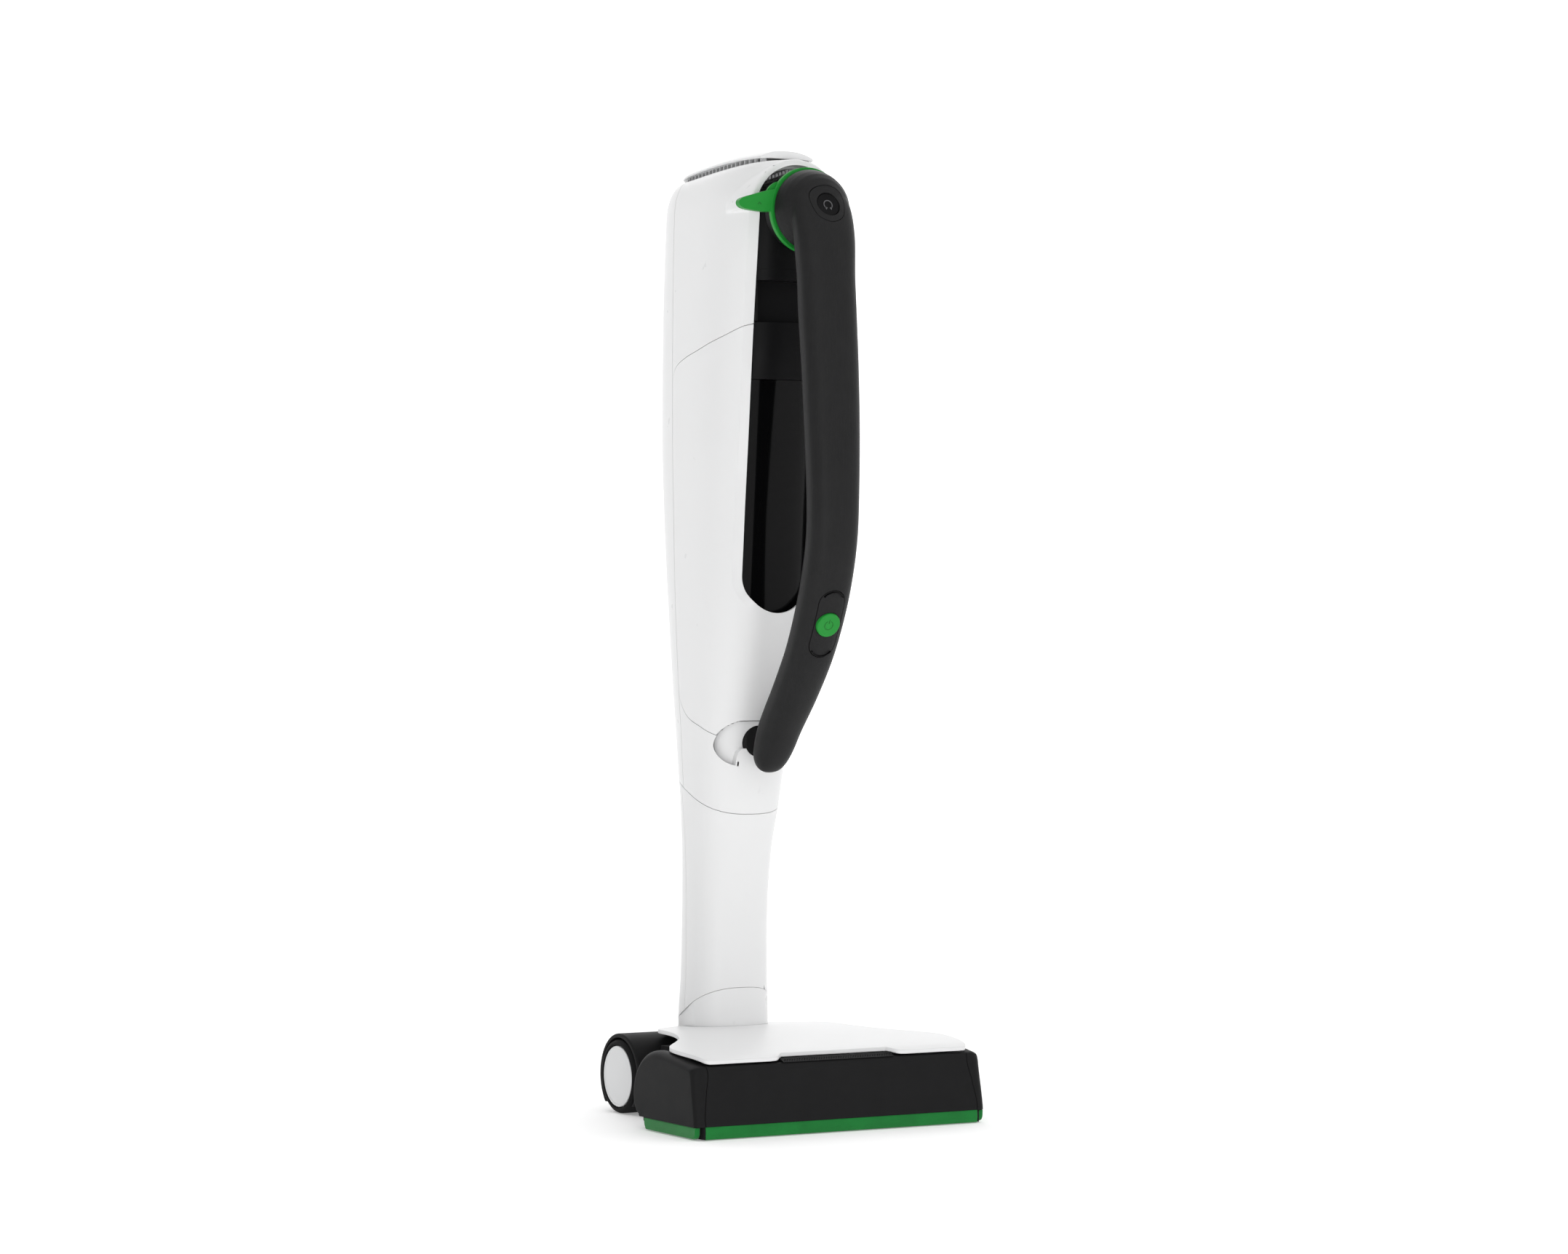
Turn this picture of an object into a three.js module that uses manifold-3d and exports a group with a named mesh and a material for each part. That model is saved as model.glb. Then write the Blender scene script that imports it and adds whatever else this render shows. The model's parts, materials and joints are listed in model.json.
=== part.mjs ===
// Cordless stick vacuum, standing parked with its bow handle folded down in front.
// Frame: millimetres, +Z up, the front of the cleaner faces -Y, the floor is z = 0.
// Every piece is written with y measured from the wheel axle; one group then carries the whole
// assembly forward so that the origin is the middle of its footprint.
import * as THREE from "three";
import { mergeVertices } from "three/addons/utils/BufferGeometryUtils.js";
import Module from "manifold-3d";

const wasm = await Module();
wasm.setup();

// ---------------------------------------------------------------- driving dimensions
const AXLE_Y = 88; // wheel axle behind the origin
const AXLE_Z = 32.3; // wheel radius, so the axle's height
const GAP = 0.35; // joint line between neighbouring shells
const WALL = 2.6; // moulded wall
const HINGE_Z = 781; // handle pivot height, its axis lies along y
const RING_Y = -155; // plane of the unlocking ring
const HEAD_R = 34.5; // handle head
const SOLE_FRONT = -218.8; // front foot of the nozzle
const NOZZLE_HALF = 141; // half width of the nozzle at the floor
const WHEEL_OUT = 104; // outer face of a wheel
const SWIVEL_SLOPE = 0.556; // rise to the front of the swivel's parting plane
const SWIVEL_Y = -5, SWIVEL_Z = 89.8; // a point on the swivel axis
const ROLLER_Y = -168, ROLLER_Z = 27, ROLLER_R = 21; // brush roller

// ---------------------------------------------------------------- small library
const V3 = (x, y, z) => new THREE.Vector3(x, y, z);
const toSolid = (geometry) => {
  const g = geometry.clone();
  for (const name of Object.keys(g.attributes)) if (name !== "position") g.deleteAttribute(name);
  const m = mergeVertices(g, 1e-4);
  return new wasm.Manifold(new wasm.Mesh({
    numProp: 3,
    vertProperties: new Float32Array(m.attributes.position.array),
    triVerts: new Uint32Array(m.index.array),
  }));
};
const toGeometry = (solid) => {
  const m = solid.getMesh(), n = m.numProp, v = new Float32Array(m.numVert * 3);
  for (let i = 0; i < m.numVert; i++) v.set(m.vertProperties.subarray(i * n, i * n + 3), i * 3);
  const g = new THREE.BufferGeometry();
  g.setAttribute("position", new THREE.BufferAttribute(v, 3));
  g.setIndex(new THREE.BufferAttribute(new Uint32Array(m.triVerts), 1));
  return g;
};
const join = (...s) => s.reduce((a, b) => a.add(b));
const cut = (a, ...s) => s.reduce((p, b) => p.subtract(b), a);
const box = (x0, x1, y0, y1, z0, z1) => {
  const g = new THREE.BoxGeometry(x1 - x0, y1 - y0, z1 - z0);
  g.translate((x0 + x1) / 2, (y0 + y1) / 2, (z0 + z1) / 2);
  return toSolid(g);
};
// cylinder along an axis letter, from a to b on that axis, centred on the two other coordinates
const cyl = (axis, r, a, b, p, q, seg = 24, r2 = r) => {
  const g = new THREE.CylinderGeometry(r2, r, b - a, seg);
  if (axis === "x") { g.rotateZ(-Math.PI / 2); g.translate((a + b) / 2, p, q); }
  if (axis === "y") { g.translate(p, (a + b) / 2, q); }
  if (axis === "z") { g.rotateX(Math.PI / 2); g.translate(p, q, (a + b) / 2); }
  return toSolid(g);
};
// turned body about the y axis through (0, HINGE_Z): points are [radius, y]
const turnY = (pts, seg = 32, z = HINGE_Z) => {
  let g = new THREE.LatheGeometry(pts.map((p) => new THREE.Vector2(p[0], p[1])), seg);
  g.translate(0, 0, z);
  let s = toSolid(g);
  if (s.volume() < 0) { g = new THREE.LatheGeometry([...pts].reverse().map((p) => new THREE.Vector2(p[0], p[1])), seg); g.translate(0, 0, z); s = toSolid(g); }
  return s;
};
// turned body about an x axis through (y, z): points are [radius, x]
const turnX = (pts, y, z, seg = 32) => {
  const make = (q) => {
    const g = new THREE.LatheGeometry(q.map((p) => new THREE.Vector2(p[0], p[1])), seg);
    g.rotateZ(-Math.PI / 2); g.translate(0, y, z); return toSolid(g);
  };
  const s = make(pts);
  return s.volume() < 0 ? make([...pts].reverse()) : s;
};
const shapeOf = (pts) => {
  const s = new THREE.Shape();
  pts.forEach((p, i) => (i ? s.lineTo(p[0], p[1]) : s.moveTo(p[0], p[1])));
  s.closePath();
  return s;
};
const extr = (pts, depth) => new THREE.ExtrudeGeometry(shapeOf(pts), { depth, bevelEnabled: false, curveSegments: 8 });
// a side-view outline [y, z], run across x from x0 to x1
const prismX = (pts, x0, x1) => {
  const g = extr(pts, x1 - x0); // shape x -> y, shape y -> z, depth -> x
  g.applyMatrix4(new THREE.Matrix4().set(0, 0, 1, x0, 1, 0, 0, 0, 0, 1, 0, 0, 0, 0, 0, 1));
  return toSolid(g);
};
// a front-view outline [x, z], run along y from y0 to y1
const prismY = (pts, y0, y1) => {
  const g = extr(pts, y1 - y0);
  g.applyMatrix4(new THREE.Matrix4().set(1, 0, 0, 0, 0, 0, -1, y1, 0, 1, 0, 0, 0, 0, 0, 1));
  return toSolid(g);
};
// a plan outline [x, y], run up z from z0 to z1
const prismZ = (pts, z0, z1) => {
  const g = extr(pts, z1 - z0);
  g.translate(0, 0, z0);
  return toSolid(g);
};
// rings of equal length joined into one closed body, end rings capped about their centres
const loft = (rings) => {
  const n = rings[0].length, pos = [], idx = [];
  rings.forEach((r) => r.forEach((p) => pos.push(p.x, p.y, p.z)));
  const mid = (r) => r.reduce((a, p) => a.clone().add(p), V3(0, 0, 0)).multiplyScalar(1 / n);
  const a = mid(rings[0]), b = mid(rings[rings.length - 1]);
  pos.push(a.x, a.y, a.z, b.x, b.y, b.z);
  const ia = rings.length * n, ib = ia + 1;
  for (let k = 0; k + 1 < rings.length; k++)
    for (let i = 0; i < n; i++) {
      const j = (i + 1) % n, p = k * n + i, q = k * n + j, r = p + n, s = q + n;
      idx.push(p, q, s, p, s, r);
    }
  for (let i = 0; i < n; i++) {
    const j = (i + 1) % n, t = (rings.length - 1) * n;
    idx.push(ia, j, i, ib, t + i, t + j);
  }
  const g = new THREE.BufferGeometry();
  g.setAttribute("position", new THREE.BufferAttribute(new Float32Array(pos), 3));
  g.setIndex(idx);
  let s = toSolid(g);
  if (s.volume() < 0) {
    for (let i = 0; i < idx.length; i += 3) [idx[i + 1], idx[i + 2]] = [idx[i + 2], idx[i + 1]];
    g.setIndex(idx);
    s = toSolid(g);
  }
  return s;
};
const arc = (cx, cz, r, a0, a1, n) => Array.from({ length: n + 1 }, (_, i) => {
  const t = ((a0 + ((a1 - a0) * i) / n) * Math.PI) / 180;
  return [cx + r * Math.cos(t), cz + r * Math.sin(t)];
});

const model = new THREE.Group();
const assembly = new THREE.Group();
assembly.position.set(0, AXLE_Y, 0);
model.add(assembly);
const mats = {
  white: new THREE.MeshStandardMaterial({ color: 0xe9eaea, roughness: 0.32, metalness: 0 }),
  grey: new THREE.MeshStandardMaterial({ color: 0x9a9c9e, roughness: 0.5, metalness: 0 }),
  black: new THREE.MeshStandardMaterial({ color: 0x1f1f20, roughness: 0.55, metalness: 0 }),
  gloss: new THREE.MeshStandardMaterial({ color: 0x0c0c0d, roughness: 0.08, metalness: 0 }),
  grip: new THREE.MeshStandardMaterial({ color: 0x262627, roughness: 0.6, metalness: 0 }),
  green: new THREE.MeshStandardMaterial({ color: 0x1f9a36, roughness: 0.42, metalness: 0 }),
  felt: new THREE.MeshStandardMaterial({ color: 0x1c7d36, roughness: 0.9, metalness: 0 }),
  rubber: new THREE.MeshStandardMaterial({ color: 0x18181a, roughness: 0.85, metalness: 0 }),
  steel: new THREE.MeshStandardMaterial({ color: 0xb4b6b8, roughness: 0.3, metalness: 1 }),
  copper: new THREE.MeshStandardMaterial({ color: 0xb8723a, roughness: 0.35, metalness: 1 }),
  board: new THREE.MeshStandardMaterial({ color: 0x14532d, roughness: 0.6, metalness: 0 }),
  paper: new THREE.MeshStandardMaterial({ color: 0xe6e0d2, roughness: 0.95, metalness: 0 }),
  bristle: new THREE.MeshStandardMaterial({ color: 0x2b2c2e, roughness: 0.8, metalness: 0 }),
};
const put = (name, solid, material) => {
  const mesh = new THREE.Mesh(toGeometry(solid), mats[material]);
  mesh.name = name;
  assembly.add(mesh);
  return solid;
};

// ---------------------------------------------------------------- body surface
// One section law covers the neck and the body: half width wx at y = ym, back yb, front yf,
// with superellipse powers nf to the front and nb to the back.
const LAW = [
  // z, wx, ym, yb, yf, nf, nb
  [50, 38, -4, 31, -39, 2.6, 2.6],
  [78, 38, -4, 31, -39, 2.6, 2.6],
  [120, 36.5, -5.5, 28.5, -39.5, 2.6, 2.6],
  [175, 36, -7, 27, -41, 2.6, 2.6],
  [225, 37, -10, 26, -47, 2.6, 2.6],
  [273, 40.5, -15, 25.5, -58.5, 2.65, 2.6],
  [297, 42, -17, 27, -63.5, 2.7, 2.7],
  [337, 44, -18, 29.5, -74, 2.8, 2.8],
  [370, 46, -18, 30.5, -84.5, 2.9, 2.9],
  [401, 47.5, -18, 31.5, -94.5, 3.0, 3.0],
  [437, 49, -18, 33, -103, 3.1, 3.1],
  [473, 50, -18, 35.5, -107, 3.2, 3.2],
  [530, 51, -18, 39, -112, 3.2, 3.3],
  [593, 52, -20, 41, -118.2, 3.2, 3.4],
  [660, 52, -20, 40, -125, 3.2, 3.4],
  [700, 51.7, -20, 39, -129.5, 3.2, 3.4],
  [756, 51, -20, 37, -137, 3.2, 3.3],
  [789, 50, -20, 35.5, -141.5, 3.2, 3.3],
  [860, 48, -20, 34, -147, 3.2, 3.3],
];
const hermite = (z, col) => {
  const T = LAW, n = T.length;
  if (z <= T[0][0]) return T[0][col];
  if (z >= T[n - 1][0]) return T[n - 1][col];
  let k = 0;
  while (z > T[k + 1][0]) k++;
  const slope = (i) => {
    if (i <= 0 || i >= n - 1) return 0;
    const a = (T[i][col] - T[i - 1][col]) / (T[i][0] - T[i - 1][0]);
    const b = (T[i + 1][col] - T[i][col]) / (T[i + 1][0] - T[i][0]);
    return a * b <= 0 ? 0 : (2 * a * b) / (a + b);
  };
  const h = T[k + 1][0] - T[k][0], t = (z - T[k][0]) / h;
  const p = T[k][col], q = T[k + 1][col], m0 = slope(k) * h, m1 = slope(k + 1) * h;
  return p * (2 * t ** 3 - 3 * t ** 2 + 1) + m0 * (t ** 3 - 2 * t ** 2 + t) + q * (3 * t ** 2 - 2 * t ** 3) + m1 * (t ** 3 - t ** 2);
};
const smooth = (a, b, x) => { const t = Math.min(1, Math.max(0, (x - a) / (b - a))); return t * t * (3 - 2 * t); };
const lean = (z, y) => -0.065 * smooth(750, 800, z) * (y + 15); // the crown rises to the front
const ring = (z, inset, n = 32, dz = 0) => {
  const wx = hermite(z, 1) - inset, ym = hermite(z, 2), yb = hermite(z, 3) - inset, yf = hermite(z, 4) + inset;
  const nf = hermite(z, 5), nb = hermite(z, 6);
  return Array.from({ length: n }, (_, i) => {
    const a = (2 * Math.PI * i) / n + Math.PI / 2, c = Math.cos(a), s = Math.sin(a);
    const p = s > 0 ? nb : nf, b = s > 0 ? yb - ym : ym - yf;
    const r = (Math.abs(c) ** p + Math.abs(s) ** p) ** (-1 / p);
    const y = ym + b * s * r;
    return V3(wx * c * r, y, z + dz + lean(z, y));
  });
};
const LEVELS = [273, 300, 337, 370, 401, 437, 473, 530, 593, 660, 700, 756, 785];
const CROWN = [[797, 1.2], [806, 4], [813, 8.5], [817, 13]];
const outerBody = loft([...[236, ...LEVELS].map((z) => ring(z, 0)), ...CROWN.map(([z, i]) => ring(z, i))]);
const innerBody = loft([...[236, ...LEVELS].map((z) => ring(z, WALL)), ...CROWN.map(([z, i]) => ring(z - 0.4, i + WALL, 32, -WALL + 0.4))]);
const NECK = [[50, 0], [78, 0], [120, 0], [175, 0], [225, 0], [273, 0], [300, 0]];
const outerNeck = loft(NECK.map(([z]) => ring(z, 0, 28)));
const innerNeck = loft(NECK.map(([z]) => ring(z, WALL, 28)));

// ---------------------------------------------------------------- joint lines of the body
const seamY = -6.5; // rear shell meets the front shells here
const neckTop = (y) => 260.6 + 0.46 * (y + 58); // body sits on the neck along this plane
const swivel = (y) => SWIVEL_Z - SWIVEL_SLOPE * (y - SWIVEL_Y);
const UPPER_LINE = [[-175, 697.5], [-121, 687], [-94, 676.9], [-50, 666.4], [-20, 658], [-10, 652], [-7.2, 643]];
const LOWER_LINE = [[-7.2, 366], [-13.9, 352.9], [-26.6, 343.4], [-38.7, 339.5], [-50.6, 334], [-60, 329.8], [-70, 329.8], [-110, 329.8]];
const g2 = GAP / 2;
const shift = (pts, dz) => pts.map(([y, z]) => [y, z + dz]);
const above = (line, dz) => [...shift(line, dz), [Math.max(...line.map((p) => p[0])), 900], [Math.min(...line.map((p) => p[0])), 900]];

const shell = outerBody.subtract(innerBody);
const halfPlane = (f, y0, y1, up, d) => [[y0, f(y0) + d], [y1, f(y1) + d], [y1, up ? 900 : -60], [y0, up ? 900 : -60]];
const aboveNeck = prismX(halfPlane(neckTop, -170, 70, true, g2), -80, 80);
const frontHalf = box(-80, 80, -180, seamY - g2, 200, 900);
const rearHalf = box(-80, 80, seamY + g2, 70, 200, 900);
const upperPrism = prismX([...shift(UPPER_LINE, g2), [-7.2, 900], [-175, 900]], -80, 80).add(box(-80, 80, -7.2, 0, 643 + g2, 900));
const doorPrism = prismX([...shift(UPPER_LINE, -g2), ...shift(LOWER_LINE, g2), [-175, 329.8 + g2]], -80, 80);
const lowerPrism = prismX([...shift(LOWER_LINE, -g2), [-175, 329.8 - g2], [-175, 180], [-7.2, 180]], -80, 80).add(box(-80, 80, -7.2, 0, 180, 366 - g2));

// stadium recess for the fingers around the handle's dock
const DOCK_Z = 324.1, DOCK_R = 19.5;
const stadium = (r) => [...arc(37 - DOCK_R, DOCK_Z, r, -90, 90, 8), ...arc(-37 + DOCK_R, DOCK_Z, r, 90, 270, 8)];
// window opening in the front of the door and upper housing, rounded at its foot
const WIN_HALF = 33, WIN_FOOT = 437;
const windowShape = (grow, top) => [[WIN_HALF + grow, top], ...arc(0, WIN_FOOT + WIN_HALF, WIN_HALF + grow, 0, -180, 12), [-WIN_HALF - grow, top]].reverse();

// rear shell, running from the neck to the crown
const topVent = loft([ring(790, 24), ring(840, 24)]);
put("rear_housing", cut(shell.intersect(rearHalf).intersect(aboveNeck), topVent,
  box(-13, 13, 20, 60, 330, 352)), "white");

// upper housing with the hood around the hinge
const hood = cut(cyl("y", 46, -137, -118, 0, HINGE_Z, 36), cyl("y", 41, -180, -90, 0, HINGE_Z, 36), box(-60, 60, -160, -90, 700, HINGE_Z + 5));
const upperOpen = prismY([[-WIN_HALF, 640], [WIN_HALF, 640], [WIN_HALF, HINGE_Z], [-WIN_HALF, HINGE_Z]], -180, -70);
put("upper_housing", cut(join(shell.intersect(frontHalf).intersect(upperPrism), hood), topVent, upperOpen,
  cut(cyl("y", 38.4, -180, -100, 0, HINGE_Z, 36), box(-60, 60, -190, -90, 700, HINGE_Z + 5)), cyl("y", 34.8, -180, -100, 0, HINGE_Z, 36), box(-80, 80, -180, 60, 829.6, 900)), "white");

// exhaust: grille wall on the crown, lid above it
const crown = (inset, z0, z1) => loft([ring(z0, inset), ring(z1, inset)]);
let grille = crown(15, 817.6, 822).subtract(crown(18, 800, 840)).add(crown(17, 817.6, 819).subtract(crown(23.5, 800, 840)));
for (let i = 0; i < 7; i++) {
  const y = -118 + i * 22;
  grille = grille.subtract(box(-70, 70, y - 6, y + 6, 819.4 + lean(820, y), 821.2 + lean(820, y)));
}
grille = grille.intersect(box(-80, 80, -117.6, 60, 700, 900));
put("exhaust_grille", grille, "grey");
put("exhaust_lid", loft([ring(822.4, 13), ring(824.2, 12.4), ring(827.2, 17), ring(830, 25), ring(831.8, 36)]).intersect(box(-80, 80, -117.6, 60, 700, 900)), "white");

// dark channel above the door: pull recess and backing of the hinge
const channelFront = (z) => hermite(z, 4) + 6;
put("front_channel", join(
  prismX([[channelFront(733), 733], [channelFront(775), 775], [-136, 790], [-128, 790], [-108, 733]], -WIN_HALF + 0.5, WIN_HALF - 0.5),
  prismX([[-112.5, 693.5], [-112.5, 733], [-116, 736], [-108, 736], [-108, 693.5]], -WIN_HALF + 0.5, WIN_HALF - 0.5)), "black");
put("hinge_hub", join(turnY([[0, -139], [31.8, -139], [31.8, -149.5], [30.6, -151], [12, -151], [12, -176], [0, -176]], 36)).subtract(cyl("y", 4, -180, -168, 0, HINGE_Z, 16))
  .subtract(box(-60, 60, -141.5, -130, 700, 790.5)), "black");

// ---------------------------------------------------------------- filter door
const doorShell = cut(shell.intersect(frontHalf).intersect(doorPrism), prismY(windowShape(0, 760), -180, -60), prismY(stadium(DOCK_R + GAP), -120, -30));
put("filter_door", doorShell, "white");
const winOuter = loft(LEVELS.filter((z) => z >= 401 && z <= 756).map((z) => ring(z, WALL + 0.6)));
const winInner = loft(LEVELS.filter((z) => z >= 401 && z <= 756).map((z) => ring(z, WALL + 3)));
const winSkin = winOuter.subtract(winInner);
put("door_window", winSkin.intersect(prismY(windowShape(5, 643), -180, -60)).intersect(box(-60, 60, -180, -60, 425, 643)), "gloss");
put("door_grip", loft([ring(643.6, 0.8), ring(690, 0.8), ring(700, 0.8)]).intersect(box(-32.4, 32.4, -180, -108, 643.4, 687.4)), "black");

// ---------------------------------------------------------------- lower collar with the dock
const collarShell = shell.intersect(frontHalf).intersect(lowerPrism).intersect(aboveNeck);
const dockPad = outerBody.intersect(prismY(stadium(DOCK_R - 0.2), -110, -53));
const nose = prismY([[-19, 296], [19, 296], [19, 314], [15, 318], [-15, 318], [-19, 314]], -110, -50);
let collar = join(collarShell, outerBody.subtract(innerBody).intersect(prismY(stadium(DOCK_R - 0.2), -110, -40)), dockPad);
collar = cut(collar, cut(prismY(stadium(DOCK_R - 0.2), -120, -60), nose), cyl("y", 13.6, -110, -40, 0, 326, 28));
put("lower_collar", collar, "white");
put("latch_button", join(cyl("y", 13, -67.5, -56, 0, 326, 28), cyl("y", 6, -56, -50, 0, 326, 16)), "black");

// ---------------------------------------------------------------- inside the body
put("battery_pack", join(box(-34, 34, -60, 24, 700, 770), box(-30, 30, -104, -60, 742, 770)), "black");
put("control_board", box(-38, 38, -104, -64, 734, 736), "board");
put("motor_can", cut(cyl("z", 33, 600, 664, 0, -30, 28), cyl("z", 29, 603, 670, 0, -30, 24), cyl("z", 4.6, 590, 610, 0, -30, 12)), "steel");
put("fan_wheel", join(cyl("z", 27, 578, 581, 0, -30, 28), cyl("z", 8, 581, 589, 0, -30, 20),
  ...[0, 1, 2, 3, 4, 5, 6].map((i) => {
    const g = new THREE.BoxGeometry(20, 1.6, 9); g.translate(15, 0, 584.5);
    g.rotateZ((i * 2 * Math.PI) / 7); g.translate(0, -30, 0); return toSolid(g);
  }), cyl("z", 4, 589, 612, 0, -30, 16), cyl("z", 24, 612, 656, 0, -30, 24)), "copper");
put("motor_filter", box(-34, 34, -72, 14, 556, 572), "paper");
put("filter_frame", cut(box(-41, 41, -86, 20, 548, 555), box(-24, 24, -66, 6, 540, 560)), "grey");
put("filter_bag", loft([ring(385, 13, 20), ring(410, 9, 20), ring(460, 9, 20), ring(520, 10, 20), ring(544, 15, 20)]), "paper");

// ---------------------------------------------------------------- neck
const belowBody = prismX(halfPlane(neckTop, -110, 70, false, -g2), -80, 80);
const aboveSwivel = prismX(halfPlane(swivel, -110, 70, true, 0.25), -80, 80);
const belowSwivel = prismX(halfPlane(swivel, -110, 70, false, -0.25), -80, 80);
const neckShell = outerNeck.subtract(innerNeck).intersect(belowBody).intersect(aboveSwivel);
put("neck_front", join(neckShell.intersect(box(-80, 80, -120, -2.5 - g2, 40, 340)),
  outerNeck.intersect(aboveSwivel).intersect(box(-80, 80, -120, -2.5 - g2, 40, 340)).intersect(prismX([[-60, swivel(-60)], [-1, swivel(-1)], [-1, swivel(-1) + 5], [-60, swivel(-60) + 5]], -60, 60)).subtract(cyl("z", 17, 0, 200, 0, -5, 28))), "white");
put("neck_rear", cut(neckShell.intersect(box(-80, 80, -2.5 + g2, 70, 40, 340)), box(-9, 9, 10, 50, 246, 264)), "white");
put("release_button", box(-8.5, 8.5, 17, 27.6, 246.5, 263.5), "grey");
put("suction_tube", cut(loft([[134, -5], [200, -7], [258, -20], [349, -32]].map(([z, y]) => Array.from({ length: 24 }, (_, i) => V3(16.5 * Math.cos(i * Math.PI / 12), y + 16.5 * Math.sin(i * Math.PI / 12), z)))),
  loft([[120, -5], [200, -7], [258, -20], [355, -32]].map(([z, y]) => Array.from({ length: 24 }, (_, i) => V3(14 * Math.cos(i * Math.PI / 12), y + 14 * Math.sin(i * Math.PI / 12), z))))), "grey");

// knuckle: swivel seat above, tilt barrel around the axle below
const KN = 36.6, KR = 31.6;
const barrel = cyl("x", KR, -KN, KN, 0, AXLE_Z, 36);
const kneeSide = prismX([[-39.5, 140], [-39.5, 74], [-36, 62], [-30, 48], [30, 48], [31.5, 62], [31.5, 140]], -KN, KN);
let knuckle = join(outerNeck.intersect(belowSwivel).intersect(kneeSide), barrel);
knuckle = cut(knuckle, cyl("x", 6.3, -60, 60, 0, AXLE_Z, 20), cyl("z", 14, 47, 200, 0, -5, 24),
  box(-14, 14, -60, -5, 22, 50));
put("knuckle", knuckle, "white");
put("tilt_axle", cyl("x", 6, -58, 58, 0, AXLE_Z, 20), "steel");

// ---------------------------------------------------------------- handle
// centre line of the bow in side view [y, z], with half width and half depth of the grip
const BOW = [[-169.6, 797, 19, 9.5], [-175.4, 780, 24.6, 12.4], [-182.5, 754, 25.8, 16], [-187.5, 722, 25.6, 17], [-190, 690, 25.6, 17], [-194.2, 645, 25, 16.8], [-197.5, 593, 24.2, 16.5],
  [-199, 540, 22.8, 16.2], [-197, 500, 22.2, 16], [-188, 464, 22, 15.9], [-175, 432, 21.6, 15.8], [-158, 401, 20.9, 15.5], [-134, 369, 20, 15], [-110, 341, 18.8, 14.4], [-98, 323.5, 17.6, 13.4], [-89, 309, 14.4, 10.6], [-84.2, 300.4, 7, 5]];
const bowLine = new THREE.CatmullRomCurve3(BOW.map((p) => V3(0, p[0], p[1])), false, "centripetal");
const profileAt = (u) => { // half width and half depth by station
  const t = u * (BOW.length - 1), k = Math.min(BOW.length - 2, Math.floor(t)), f = t - k;
  return [BOW[k][2] * (1 - f) + BOW[k + 1][2] * f, BOW[k][3] * (1 - f) + BOW[k + 1][3] * f];
};
// section powers give a full round grip with a flatter back
const gripSection = (ax, ay, inset, n) => Array.from({ length: n }, (_, i) => {
  const a = (2 * Math.PI * i) / n, c = Math.cos(a), s = Math.sin(a), p = s > 0 ? 2.3 : 3.2;
  const r = (Math.abs(c) ** p + Math.abs(s) ** p) ** (-1 / p);
  return [(ax - inset) * c * r, (ay - inset) * s * r]; // second number points to the front of the grip
});
const sweep = (make, u0, u1, steps) => {
  const rings = [];
  for (let k = 0; k <= steps; k++) {
    const u = u0 + ((u1 - u0) * k) / steps;
    const p = bowLine.getPoint(u), t = bowLine.getTangent(u);
    const f = V3(0, t.z, -t.y); // front normal of the grip
    const [ax, ay] = profileAt(u);
    rings.push(make(ax, ay).map(([x, d]) => V3(x, p.y + f.y * d, p.z + f.z * d)));
  }
  return loft(rings);
};
const GRIP_N = 20, STEPS = 24;
const gripOuter = sweep((ax, ay) => gripSection(ax, ay, 0, GRIP_N), 0, 1, STEPS);
const gripInner = sweep((ax, ay) => gripSection(ax, ay, 3, 14), 0.14, 0.93, STEPS - 4);
const backStrip = (d) => sweep((ax, ay) => [[-ax + 3.4 + d, -ay + 5.2 - d], [-ax + 3.4 + d, -ay - 3], [ax - 3.4 - d, -ay - 3], [ax - 3.4 - d, -ay + 5.2 - d]], 0.12, 0.9, STEPS - 4);
const head = turnY([[0, -188], [12, -187.4], [20, -184.5], [26.5, -179], [31, -172], [33.6, -165.5], [HEAD_R, -161], [HEAD_R, -158.6], [33, -157.6], [0, -157.6]], 36);
const PAD = { y: -175.7, z: 433.6, t: 25.5 }; // control pad centre on the grip's centre line, and its lean in degrees
const padFrame = (g) => { g.rotateX((-(90 + PAD.t) * Math.PI) / 180 + Math.PI); g.translate(0, PAD.y, PAD.z); return toSolid(g); };
const padShape = (w, l, d0, d1) => { // slot outline, extruded outwards along the grip's front normal
  const pts = [...arc(0, l / 2 - w, w, 0, 180, 10), ...arc(0, -l / 2 + w, w, 180, 360, 10)];
  const g = extr(pts, d1 - d0); g.translate(0, 0, d0);
  // local x stays x, local y runs up the grip, local z is the front normal
  const t = (PAD.t * Math.PI) / 180, up = V3(0, -Math.sin(t), Math.cos(t)), out = V3(0, -Math.cos(t), -Math.sin(t));
  g.applyMatrix4(new THREE.Matrix4().set(1, up.x, out.x, 0, 0, up.y, out.y, PAD.y, 0, up.z, out.z, PAD.z, 0, 0, 0, 1));
  return toSolid(g);
};
const padDisc = (r, d0, d1, seg = 24) => {
  const g = new THREE.CylinderGeometry(r, r, d1 - d0, seg); g.rotateX(Math.PI / 2); g.translate(0, 0, (d0 + d1) / 2);
  const t = (PAD.t * Math.PI) / 180, up = V3(0, -Math.sin(t), Math.cos(t)), out = V3(0, -Math.cos(t), -Math.sin(t));
  g.applyMatrix4(new THREE.Matrix4().set(1, up.x, out.x, 0, 0, up.y, out.y, PAD.y, 0, up.z, out.z, PAD.z, 0, 0, 0, 1));
  return toSolid(g);
};
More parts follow.
